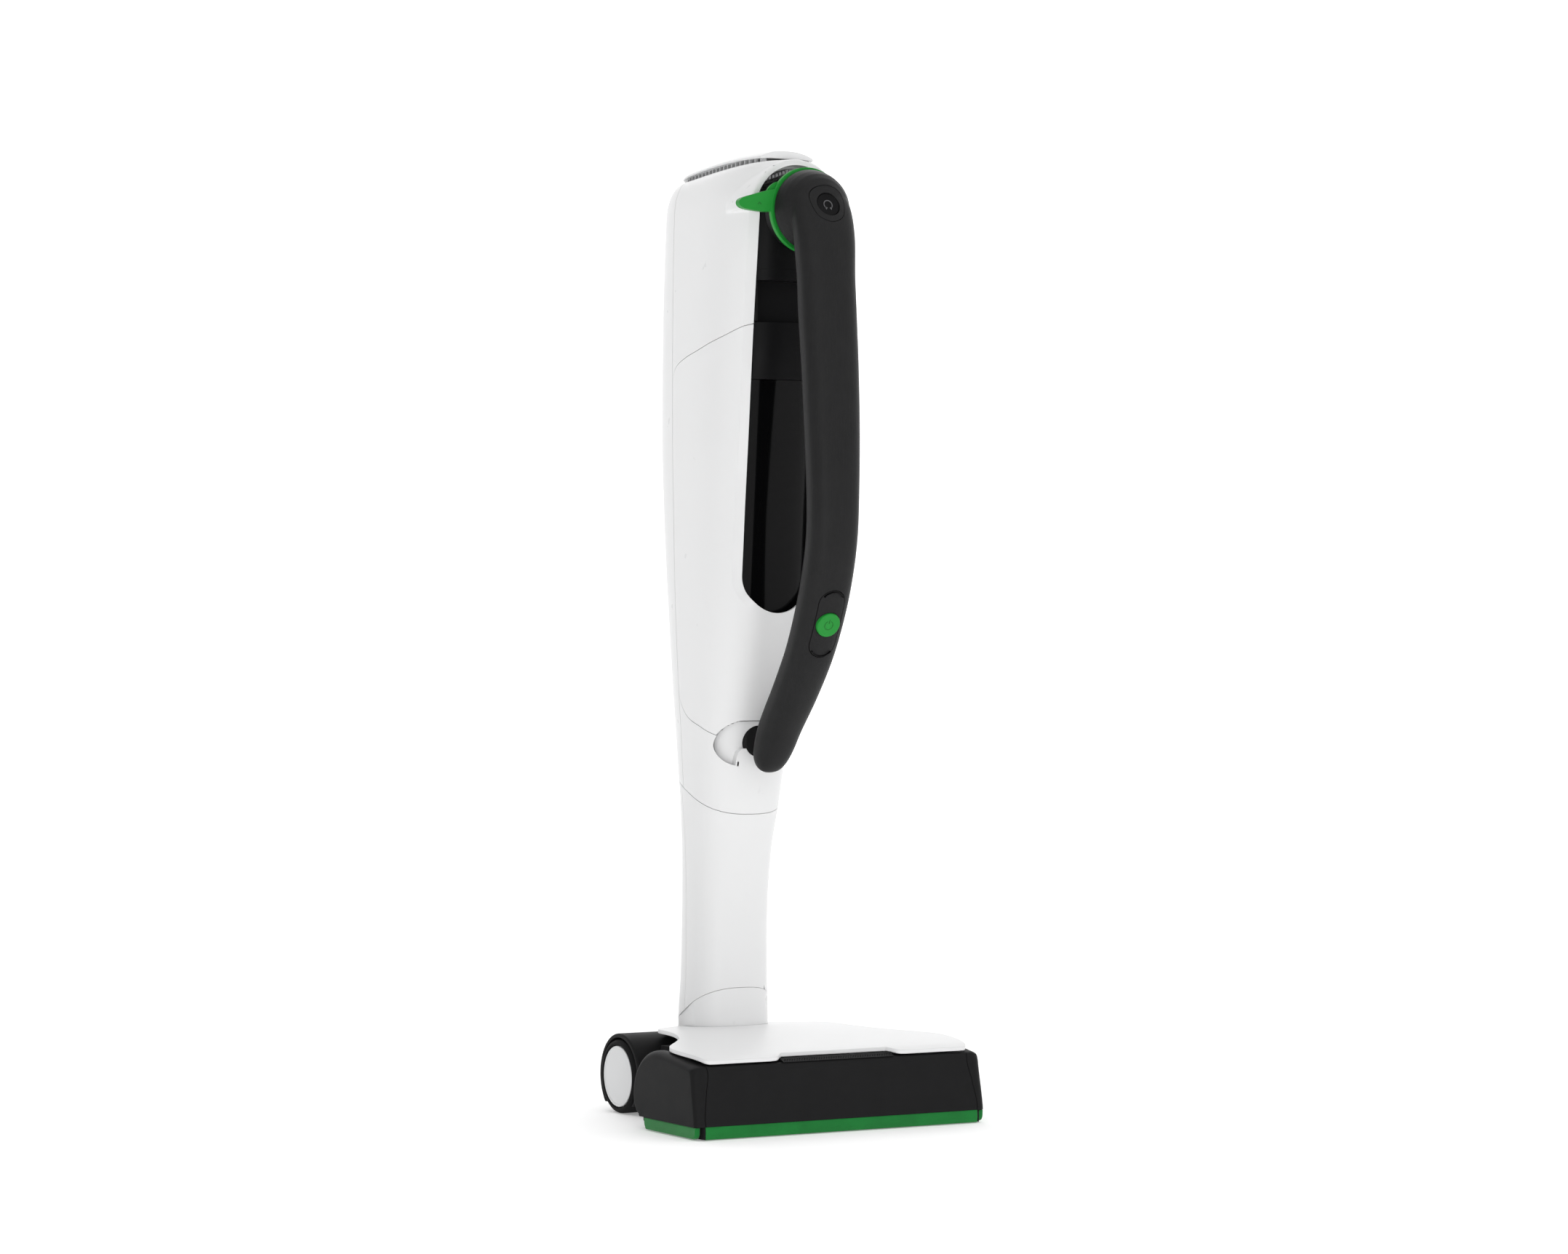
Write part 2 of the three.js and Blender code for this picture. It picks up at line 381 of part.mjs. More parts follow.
// button on the head, its face tipped up by 21 degrees
const HB = 21;
const headDisc = (r, d0, d1, seg = 24) => {
  const g = new THREE.CylinderGeometry(r, r, d1 - d0, seg); g.rotateX(Math.PI / 2); g.translate(0, 0, (d0 + d1) / 2);
  const t = (HB * Math.PI) / 180, up = V3(0, Math.sin(t), Math.cos(t)), out = V3(0, -Math.cos(t), Math.sin(t));
  g.applyMatrix4(new THREE.Matrix4().set(1, up.x, out.x, 0, 0, up.y, out.y, -186.6, 0, up.z, out.z, HINGE_Z + 0.7, 0, 0, 0, 1));
  return toSolid(g);
};
let grip = join(gripOuter, head);
grip = cut(grip, gripInner, backStrip(-0.3), turnY([[0, -150], [12.4, -150], [12.4, -177], [0, -177]], 24), padShape(12.6, 62.6, 3, 40),
  headDisc(14.4, -7.5, 12));
put("handle_shell", grip, "grip");
put("handle_back", backStrip(0).intersect(gripOuter).subtract(gripInner), "black");
put("rotate_bezel", cut(headDisc(14, -5, 0.6), headDisc(10.8, -6, 3)), "black");
put("rotate_button", headDisc(10.4, -4.2, 1), "gloss");
put("control_pad", cut(padShape(12.2, 62, 12, 16), padDisc(11.3, 8, 30)), "black");
put("power_button", padDisc(10.9, 12.2, 17.2), "green");
put("handle_board", padShape(9.5, 52, 7.6, 9), "board");

// unlocking ring with its side lever
const lever = (() => {
  const pts = [[-30, 778.5], [-30, 796], [-36, 796.2], [-52, 792.2], [-63, 788.4], [-66, 786], [-66.4, 782.9], [-64, 780.8], [-54, 779.3], [-40, 778.4]];
  return prismY(pts.reverse(), -157, -150.6);
})();
put("lever_ring", cut(join(turnY([[12.4, -156.8], [36.5, -156.8], [36.5, -152], [35, -151.5], [12.4, -151.5]].concat([[12.4, -156.8]]), 40), lever.intersect(box(-70, -30, -156.8, -151.4, 770, 803)),
  prismY([[-36, 782], [-41.5, 782], [-39, 799], [-30, 807], [-24, 804], [-30, 797]], -153.4, -151.4)), turnY([[0, -160], [12.35, -160], [12.35, -140], [0, -140]], 24)), "green");

// ---------------------------------------------------------------- nozzle
const lerp = (a, b, t) => a + (b - a) * t;
// front face leans back towards the top
const frontY = (z) => SOLE_FRONT + 11 * smooth(-10, 74, z) * 1.02;
const CAP = [[frontY(11) , 11], [frontY(30), 30], [frontY(50), 50], [frontY(58) + 0.6, 58], [-204.5, 62.4], [-188, 64.2], [-160, 66.8], [-134, 68], [-122, 65.5], [-112, 60], [-103.5, 49], [-99.5, 35], [-100.5, 22], [-106, 13], [-112, 11]];
const capLoft = (x0, x1, in0, in1) => { // side cap from plane x0 to x1, outline shrunk by in0 and in1
  const cy = -156, cz = 38;
  const r = (x, s) => CAP.map(([y, z]) => V3(x, cy + (y - cy) * s, z <= 11.01 ? 11 : cz + (z - cz) * s));
  return loft([r(x0, in0), r(x1, in1)]);
};
put("front_plate", prismX([[frontY(11.4), 11.4], [frontY(30), 30], [frontY(50), 50], [frontY(58) + 0.6, 58], [-207, 60.6], [-196.2, 60.6], [-196.2, 58], [-205, 57], [frontY(50) + 3, 50], [frontY(11.4) + 3, 11.4]], -129.6, 129.6), "black");

// brush chamber and rear deck of the chassis
const chassisPlan = [[-129.6, -196], [-129.6, -108], [-112, -98], [-88, -80], [-80, -60], [-80, -38], [80, -38], [80, -60], [88, -80], [112, -98], [129.6, -108], [129.6, -196]];
let chassis = prismZ([...chassisPlan].reverse(), 9, 61.5);
chassis = cut(chassis, box(-120, 120, -189.8, -140, 0, 56), box(-74, 74, -138, -62, 13, 60), box(-110, -76, -138, -104, 5, 57), box(76, 110, -138, -104, 5, 57),
  cyl("x", 36.6, -KN - 1, KN + 1, 0, AXLE_Z, 36), box(-16, 16, -145, -30, 16, 42), cyl("x", 5.3, -130, 130, ROLLER_Y, ROLLER_Z, 16));
put("chassis", chassis, "black");
// wheel arches either side of the knuckle
const archSide = (sgn) => {
  const x0 = sgn > 0 ? 38 : -101.5, x1 = sgn > 0 ? 101.5 : -38;
  const outline = [[-37.4, 12], ...arc(0, AXLE_Z, 37.4, 180, 0, 14), [34, 14], [-30, 8]];
  const pts = [[-37.4, 8], ...arc(0, AXLE_Z, 37.4, 180, -10, 16), [28, 8]];
  let s = prismX([...pts].reverse(), x0, x1);
  const wx0 = sgn > 0 ? 79.4 : -103, wx1 = sgn > 0 ? 103 : -79.4;
  s = cut(s, cyl("x", 33.9, wx0, wx1, 0, AXLE_Z, 30), cyl("x", 6.25, -60, 60, 0, AXLE_Z, 20), cyl("x", 4.2, Math.min(sgn * 60, sgn * 90), Math.max(sgn * 60, sgn * 90), 0, AXLE_Z, 16),
    box(Math.min(sgn * 44, sgn * 73), Math.max(sgn * 44, sgn * 73), -24, 24, 5, 24), box(wx0, wx1, -60, 60, -1, 6));
  return s;
};
put("wheel_arch_left", archSide(-1), "black");
put("wheel_arch_right", archSide(1), "black");

// white top cover, front recess with the perforated strip behind it
const coverHalf = [[0, -199.6], [54, -199.6], [61.5, -207.6], [123, -207.6], [128.5, -205], [131.5, -196], [134, -172], [132.4, -152], [112, -125], [96, -103], [90, -88], [85.6, -66], [83.4, -48], [77.6, -24], [60, -10], [44, 1], [38.2, 3], [38.2, -36.6]];
const coverPlan = [...coverHalf, ...coverHalf.slice(1, -1).reverse().map(([x, y]) => [-x, y])];
const plan = [...coverHalf.slice(0), ...[...coverHalf].slice(1).reverse().map(([x, y]) => [-x, y])];
const DECK = [[-212, 64], [-207.6, 65.2], [-203, 66.8], [-199, 67.8], [-184, 69.4], [-150, 72], [-110, 74.2], [-66, 75.6], [-36, 75.2], [-16, 74.2], [14, 73.4]];
const deck = (y) => { let k = 0; while (k < DECK.length - 2 && y > DECK[k + 1][0]) k++; return lerp(DECK[k][1], DECK[k + 1][1], (y - DECK[k][0]) / (DECK[k + 1][0] - DECK[k][0])); };
const coverTop = (() => {
  const ys = [-212, -207.6, -203, -199, -184, -150, -110, -66, -36, -16, 12];
  return prismX([[12, 40], ...ys.slice().reverse().map((y) => [y, deck(y)]), [-212, 40]].reverse(), -140, 140);
})();
const coverLow = prismX([[14, 30], ...[-212, -207.6, -203, -199, -184, -150, -110, -66, -36, -16, 14].reverse().map((y) => [y, deck(y) - 3.2]), [-212, 30]].reverse(), -141, 141);
let cover = cut(prismZ(plan, 55, 90).intersect(coverTop), coverLow.intersect(prismZ(plan, 50, 95)), box(-57, 57, -206, -196.2, 50, 66.2));
cover = cut(cover, cyl("x", 41.5, -38.1, 38.1, -1, AXLE_Z, 36), loft([ring(50, -0.5, 28), ring(78, -0.5, 28), ring(120, -0.5, 28)]));
// the collar of the cover that closes round the neck's foot
put("top_cover", cover, "white");
const wider = plan.map(([x, y]) => [x * 1.0032, -100 + (y + 100) * 1.004]);
const coverZone = cut(prismZ(wider, 50, 95), coverLow.translate([0, 0, -0.4]));
const cap = (sgn) => {
  const a = 130, b = 139, c = NOZZLE_HALF;
  const cy = -156, cz = 38;
  const r = (x, s, flare) => CAP.map(([y, z]) => V3(sgn * (x + flare * (1 - smooth(8, 60, z))), cy + (y - cy) * s, z <= 11.01 ? 11 : cz + (z - cz) * s));
  return cut(cut(loft([r(a, 1, 0), r(b - 1, 1, 0.4), r(c - 0.8, 0.965, 0.8)]), sgn > 0 ? box(120, 135, -212, -108, 5, 55) : box(-135, -120, -212, -108, 5, 55)), coverZone);
};
put("side_cap_left", cap(-1), "black");
put("side_cap_right", cap(1), "black");
put("perforated_strip", box(-54, 54, -206.2, -200.1, 60.9, 61.8), "black");

// felt strips and corner skids
put("felt_front", prismX([[frontY(11) + 0.6, 10.8], [frontY(11) + 0.6 - 0.4, 0.6], [frontY(11) + 5.6, 0.6], [frontY(11) + 5.6, 10.8]].reverse(), -132.6, 132.6), "felt");
for (const s of [-1, 1]) {
  const side = s < 0 ? "left" : "right";
  const a = s > 0 ? 135.4 : -140.6, b = s > 0 ? 140.6 : -135.4;
  put("felt_" + side, prismX([[-213.5, 10.7], [-213.2, 4.6], [-210.6, 1.2], [-124, 0.8], [-121, 10.7]].reverse(), a, b), "felt");
  put("corner_skid_" + side, prismZ([[132.9, -216.6], [134, -216.4], [135, -212], [135, -202], [132.9, -202]].map(([x, y]) => [s * x, y]), 0.9, 10.7), "rubber");
}
// sole plate with the suction mouth
put("sole_plate", cut(box(-129.6, 129.6, -211.2, -100, 5.2, 8.7), box(-112, 112, -189, -146, 0, 12), box(-92, -74, -209, -197, 0, 12), box(74, 92, -209, -197, 0, 12)), "black");
for (const s of [-1, 1]) {
  const side = s < 0 ? "left" : "right";
  put("front_roller_" + side, join(cyl("x", 5, s * 83 - 7, s * 83 + 7, -203, 5, 20), cyl("x", 1.5, s * 83 - 8.4, s * 83 + 8.4, -203, 5, 10)), "rubber");
  put("wheel_tyre_" + side, turnX([[27, 0], [30.6, 0], [32.3, 2], [32.3, 17], [31, 19.4], [29, 20.6], [27, 20.6], [27, 0]].map(([r, x]) => [r, s * (WHEEL_OUT - 21.6 + x) * 1]), 0, AXLE_Z, 36), "rubber");
  put("wheel_hub_" + side, cut(turnX([[4.25, 0], [8, 0], [8, 6], [26.8, 6], [26.8, 20], [25.5, 21.2], [22, 21.8], [0, 22.4], [0, 14], [4.25, 14], [4.25, 0]].map(([r, x]) => [r, s * (WHEEL_OUT - 22.4 + x)]), 0, AXLE_Z, 36)), "white");
  put("wheel_axle_" + side, cyl("x", 4, s > 0 ? 62 : -94.8, s > 0 ? 94.8 : -62, 0, AXLE_Z, 16), "steel");
}
// brush roller: core, end shafts and two helical rows of tufts
const core = join(cyl("x", 13, -112, 112, ROLLER_Y, ROLLER_Z, 20), cyl("x", 5, -124.5, 124.5, ROLLER_Y, ROLLER_Z, 16));
const rows = [0, 1, 2, 3].map((k) => {
  const n = 18, rings = [];
  for (let i = 0; i <= n; i++) {
    const x = -110 + (220 * i) / n, a = (k * Math.PI) / 2 + (i / n) * Math.PI * 1.1, c = Math.cos(a), s = Math.sin(a);
    const at = (r, w) => V3(x, ROLLER_Y + r * c - w * s, ROLLER_Z + r * s + w * c);
    rings.push([at(11, -2.6), at(ROLLER_R, -1.7), at(ROLLER_R, 1.7), at(11, 2.6)]);
  }
  return loft(rings);
});
put("brush_roller", join(core, ...rows), "bristle");
put("roller_bearing_left", cut(cyl("x", 9, -119.8, -113.4, ROLLER_Y, ROLLER_Z, 20), cyl("x", 5.1, -122, -112.5, ROLLER_Y, ROLLER_Z, 16)).intersect(box(-119.7, -113.4, -200, -100, 0, 60)), "steel");
put("drive_motor", join(cyl("x", 15, -66, -17, -100, 34, 24), cyl("x", 2.4, -71, -66, -100, 34, 12)), "steel");
put("suction_duct", cut(box(-15.6, 15.6, -139.6, -40.6, 16.4, 41.6).subtract(cyl("x", 37, -30, 30, 0, AXLE_Z, 36)), box(-13, 13, -160, -20, 19, 39)), "grey");

export default model;
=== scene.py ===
import bpy, bmesh, json, math, random
import numpy as np
from mathutils import Matrix, Vector


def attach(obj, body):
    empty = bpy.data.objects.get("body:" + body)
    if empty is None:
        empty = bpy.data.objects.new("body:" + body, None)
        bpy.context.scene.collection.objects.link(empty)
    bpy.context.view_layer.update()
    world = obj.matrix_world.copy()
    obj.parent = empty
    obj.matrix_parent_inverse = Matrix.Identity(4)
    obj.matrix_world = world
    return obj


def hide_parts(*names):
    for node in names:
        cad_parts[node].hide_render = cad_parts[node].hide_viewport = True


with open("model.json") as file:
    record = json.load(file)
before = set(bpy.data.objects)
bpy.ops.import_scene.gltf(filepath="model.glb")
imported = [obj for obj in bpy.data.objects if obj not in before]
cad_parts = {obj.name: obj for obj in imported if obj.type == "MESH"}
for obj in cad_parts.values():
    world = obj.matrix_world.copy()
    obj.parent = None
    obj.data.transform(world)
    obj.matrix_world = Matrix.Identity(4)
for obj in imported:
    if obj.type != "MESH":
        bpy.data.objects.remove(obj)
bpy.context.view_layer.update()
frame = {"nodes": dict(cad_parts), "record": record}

random.seed(7)
AY = 88.0            # wheel axle behind the origin, mm
AXZ = 32.3
HZ = 781.0
COLL = bpy.context.scene.collection
pi = math.pi


# ------------------------------------------------------------------ geometry library (mm, y from the axle)
def new_obj(name, verts, faces):
    me = bpy.data.meshes.new(name)
    v = np.asarray(verts, float).copy()
    v[:, 1] += AY
    me.from_pydata((v / 1000.0).tolist(), [], [tuple(int(i) for i in f) for f in faces])
    me.update()
    ob = bpy.data.objects.new(name, me)
    COLL.objects.link(ob)
    return ob


def volume(ob):
    bm = bmesh.new(); bm.from_mesh(ob.data); v = bm.calc_volume(signed=True); bm.free()
    return v


def outward(ob):
    if volume(ob) < 0:
        ob.data.flip_normals()
    return ob


def loft(rings, name="tmp"):
    R = np.asarray(rings, float)
    k, n, _ = R.shape
    verts = np.vstack([R.reshape(-1, 3), R[0].mean(0), R[-1].mean(0)])
    f = []
    for a in range(k - 1):
        for i in range(n):
            j = (i + 1) % n
            f.append((a * n + i, a * n + j, (a + 1) * n + j, (a + 1) * n + i))
    ia, ib, t = k * n, k * n + 1, (k - 1) * n
    for i in range(n):
        j = (i + 1) % n
        f.append((ia, j, i)); f.append((ib, t + i, t + j))
    return outward(new_obj(name, verts, f))


def lathe(axis, pts, p, q, seg=96, name="tmp"):
    """profile [radius, along] turned about an axis letter through (p, q)."""
    rings = []
    for r, h in pts:
        r = max(r, 1e-3)
        ring = []
        for i in range(seg):
            t = 2 * pi * i / seg
            c, s = r * math.cos(t), r * math.sin(t)
            ring.append((h, p + c, q + s) if axis == "x" else (p + c, h, q + s) if axis == "y" else (p + c, q + s, h))
        rings.append(ring)
    return loft(rings, name)


def tube_lathe(axis, pts, p, q, seg=96, name="tmp"):
    """closed profile loop [radius, along] turned into a ring body."""
    n, verts, f = len(pts), [], []
    for i in range(seg):
        t = 2 * pi * i / seg
        for r, h in pts:
            c, s = r * math.cos(t), r * math.sin(t)
            verts.append((h, p + c, q + s) if axis == "x" else (p + c, h, q + s) if axis == "y" else (p + c, q + s, h))
    for i in range(seg):
        a, b = i * n, ((i + 1) % seg) * n
        for k in range(n):
            l = (k + 1) % n
            f.append((a + k, b + k, b + l, a + l))
    return outward(new_obj(name, verts, f))


def round_cyl(axis, r, a, b, p, q, e=0.6, seg=96, name="tmp"):
    prof = [(1e-3, a)]
    prof += [(r - e + e * math.sin(t), a + e - e * math.cos(t)) for t in np.linspace(0, pi / 2, 6)]
    prof += [(r - e + e * math.cos(t), b - e + e * math.sin(t)) for t in np.linspace(0, pi / 2, 6)]
    prof.append((1e-3, b))
    return lathe(axis, prof, p, q, seg, name)


def box(x0, x1, y0, y1, z0, z1, name="tmp"):
    v = [(x, y, z) for z in (z0, z1) for y in (y0, y1) for x in (x0, x1)]
    return outward(new_obj(name, v, [(0, 1, 3, 2), (4, 6, 7, 5), (0, 4, 5, 1), (2, 3, 7, 6), (0, 2, 6, 4), (1, 5, 7, 3)]))


def prism(kind, pts, a, b, name="tmp"):
    """outline run along x, y or z; pts are (y,z), (x,z) or (x,y)."""
    if kind == "x":
        r = [[(h, u, v) for u, v in pts] for h in (a, b)]
    elif kind == "y":
        r = [[(u, h, v) for u, v in pts] for h in (a, b)]
    else:
        r = [[(u, v, h) for u, v in pts] for h in (a, b)]
    n = len(pts)
    f = [tuple(range(n)), tuple(range(2 * n - 1, n - 1, -1))]
    f += [(i, n + i, n + (i + 1) % n, (i + 1) % n) for i in range(n)]
    ob = new_obj(name, r[0] + r[1], f)
    bm = bmesh.new(); bm.from_mesh(ob.data)
    bmesh.ops.triangulate(bm, faces=[x for x in bm.faces if len(x.verts) > 4], quad_method="BEAUTY", ngon_method="EAR_CLIP")
    bmesh.ops.recalc_face_normals(bm, faces=bm.faces)
    bm.to_mesh(ob.data); bm.free()
    return outward(ob)


def drop(ob):
    me = ob.data
    bpy.data.objects.remove(ob)
    if me.users == 0:
        bpy.data.meshes.remove(me)


def bake(ob):
    dg = bpy.context.evaluated_depsgraph_get()
    me = bpy.data.meshes.new_from_object(ob.evaluated_get(dg))
    old = ob.data
    ob.modifiers.clear()
    ob.data = me
    bpy.data.meshes.remove(old)
    return ob


def op(a, b, how, keep=False):
    m = a.modifiers.new("b", "BOOLEAN")
    m.operation, m.solver, m.object = how, "MANIFOLD", b
    bake(a)
    if not keep:
        drop(b)
    return a


def sub(a, *bs):
    for b in bs:
        op(a, b, "DIFFERENCE")
    return a


def add(a, *bs):
    for b in bs:
        op(a, b, "UNION")
    return a


def cap(a, *bs):
    for b in bs:
        op(a, b, "INTERSECT")
    return a


def copy(ob, name="tmp"):
    o = bpy.data.objects.new(name, ob.data.copy())
    COLL.objects.link(o)
    return o


def join(name, obs):
    """several closed solids kept as one piece"""
    bm = bmesh.new()
    for o in obs:
        bm.from_mesh(o.data)
    me = bpy.data.meshes.new(name); bm.to_mesh(me); bm.free()
    for o in obs:
        drop(o)
    ob = bpy.data.objects.new(name, me); COLL.objects.link(ob)
    return ob


def soften(ob, voxel, rounds, lam=0.5):
    m = ob.modifiers.new("r", "REMESH")
    m.mode, m.voxel_size, m.adaptivity = "VOXEL", voxel / 1000, 0
    bake(ob)
    me = ob.data
    n = len(me.vertices)
    co = np.zeros(n * 3); me.vertices.foreach_get("co", co); co = co.reshape(-1, 3)
    ed = np.zeros(len(me.edges) * 2, int); me.edges.foreach_get("vertices", ed); ed = ed.reshape(-1, 2)
    deg = np.bincount(ed.ravel(), minlength=n).astype(float)[:, None]
    def lap(c):
        acc = np.zeros_like(c)
        for k in range(3):
            acc[:, k] = np.bincount(ed[:, 0], c[ed[:, 1], k], n) + np.bincount(ed[:, 1], c[ed[:, 0], k], n)
        return acc / deg - c
    for i in range(rounds):
        co = co + lam * lap(co)
        co = co - 0.53 * lam / 0.5 * lap(co) * 0.94
    me.vertices.foreach_set("co", co.ravel()); me.update()
    return ob


def sm(a, b, x):
    t = min(1.0, max(0.0, (x - a) / (b - a)))
    return t * t * (3 - 2 * t)


def spline(pts, n, closed=False):
    """centripetal-ish Catmull-Rom through pts"""
    P = np.asarray(pts, float)
    if closed:
        P = np.vstack([P[-1], P, P[0], P[1]])
    else:
        P = np.vstack([2 * P[0] - P[1], P, 2 * P[-1] - P[-2]])
    out = []
    segs = len(P) - 3
    for s in range(segs):
        p0, p1, p2, p3 = P[s:s + 4]
        for i in range(n):
            t = i / n
            out.append(0.5 * ((2 * p1) + (-p0 + p2) * t + (2 * p0 - 5 * p1 + 4 * p2 - p3) * t * t + (-p0 + 3 * p1 - 3 * p2 + p3) * t ** 3))
    if not closed:
        out.append(P[-2])
    return np.array(out)


# ------------------------------------------------------------------ body law
LAW = np.array([
    [50, 38, -4, 31, -39, 2.6, 2.6], [78, 38, -4, 31, -39, 2.6, 2.6], [120, 36.5, -5.5, 28.5, -39.5, 2.6, 2.6],
    [175, 36, -7, 27, -41, 2.6, 2.6], [225, 37, -10, 26, -47, 2.6, 2.6], [273, 40.5, -15, 25.5, -58.5, 2.65, 2.6],
    [297, 42, -17, 27, -63.5, 2.7, 2.7], [337, 44, -18, 29.5, -74, 2.8, 2.8], [370, 46, -18, 30.5, -84.5, 2.9, 2.9],
    [401, 47.5, -18, 31.5, -94.5, 3.0, 3.0], [437, 49, -18, 33, -103, 3.1, 3.1], [473, 50, -18, 35.5, -107, 3.2, 3.2],
    [530, 51, -18, 39, -112, 3.2, 3.3], [593, 52, -20, 41, -118.2, 3.2, 3.4], [660, 52, -20, 40, -125, 3.2, 3.4],
    [700, 51.7, -20, 39, -129.5, 3.2, 3.4], [756, 51, -20, 37, -137, 3.2, 3.3], [789, 50, -20, 35.5, -141.5, 3.2, 3.3],
    [860, 48, -20, 34, -147, 3.2, 3.3]])


def her(z, c):
    T = LAW
    if z <= T[0, 0]: return T[0, c]
    if z >= T[-1, 0]: return T[-1, c]
    k = int(np.searchsorted(T[:, 0], z, "right")) - 1
    def sl(i):
        if i <= 0 or i >= len(T) - 1: return 0.0
        a = (T[i, c] - T[i - 1, c]) / (T[i, 0] - T[i - 1, 0]); b = (T[i + 1, c] - T[i, c]) / (T[i + 1, 0] - T[i, 0])
        return 0.0 if a * b <= 0 else 2 * a * b / (a + b)
    h = T[k + 1, 0] - T[k, 0]; t = (z - T[k, 0]) / h
    p, q, m0, m1 = T[k, c], T[k + 1, c], sl(k) * h, sl(k + 1) * h
    return p * (2 * t ** 3 - 3 * t ** 2 + 1) + m0 * (t ** 3 - 2 * t ** 2 + t) + q * (3 * t ** 2 - 2 * t ** 3) + m1 * (t ** 3 - t ** 2)


def lean(z, y):
    return -0.065 * sm(750, 800, z) * (y + 15)


def ring(z, inset=0.0, n=192, dz=0.0, bump=None):
    wx, ym, yb, yf = her(z, 1) - inset, her(z, 2), her(z, 3) - inset, her(z, 4) + inset
    nf, nb = her(z, 5), her(z, 6)
    a = 2 * pi * np.arange(n) / n + pi / 2
    c, s = np.cos(a), np.sin(a)
    p = np.where(s > 0, nb, nf); b = np.where(s > 0, yb - ym, ym - yf)
    r = (np.abs(c) ** p + np.abs(s) ** p) ** (-1 / p)
    x, y = wx * c * r, ym + b * s * r
    zz = z + dz + np.array([lean(z, v) for v in y])
    if bump is not None:
        zz = zz + bump(y)
    return np.stack([x, y, zz], 1)


def front_y(x, z, inset=0.0):
    """front surface of the body at half width x"""
    wx, ym, yf, nf = her(z, 1) - inset, her(z, 2), her(z, 4) + inset, her(z, 5)
    t = min(0.999, abs(x) / wx)
    return ym - (ym - yf) * (1 - t ** nf) ** (1 / nf)


def crown_inset(z):
    t = min(1.0, max(0.0, (z - 788) / 30.6))
    return 13.5 * (1 - (1 - t ** 2.1) ** (1 / 2.1))


WALL = 2.6
def body_loft(inset, z0, z1, n=192, step=4.0, crown=True):
    zs = list(np.arange(z0, min(z1, 788), step)) + ([min(z1, 788)] if z1 < 788 else [])
    rings = [ring(z, inset, n) for z in zs]
    if crown and z1 > 788:
        top = 818.4
        for z in [788, 793, 798, 802, 806, 809, 811.5, 813.5, 815, 816.2, 817.1, 817.8, 818.3]:
            rings.append(ring(z - (0.6 + inset * 0.75 if inset else 0), crown_inset(z) + inset, n))
    return loft(rings)


g2 = 0.3
seamY = -6.5
def neck_top(y): return 260.6 + 0.46 * (y + 58)
def swivel(y): return 89.8 - 0.556 * (y + 5)
UP = spline([[-175, 700.5], [-150, 693.7], [-121, 687.0], [-94, 677.5], [-68, 670.5], [-50, 665.7], [-34, 661.9], [-20, 657.5], [-12.5, 652.9], [-8.6, 646.9], [-6.7, 639.5]], 10)
LO = spline([[-6.7, 369], [-8.6, 361.5], [-13.9, 352.9], [-20, 347.4], [-26.6, 343.8], [-38.7, 339.3], [-50.6, 334], [-60, 330.2]], 10)
LO = np.vstack([LO, [[-70, 329.8], [-120, 329.8]]])


def shift(line, dz): return [(float(y), float(z) + dz) for y, z in line]


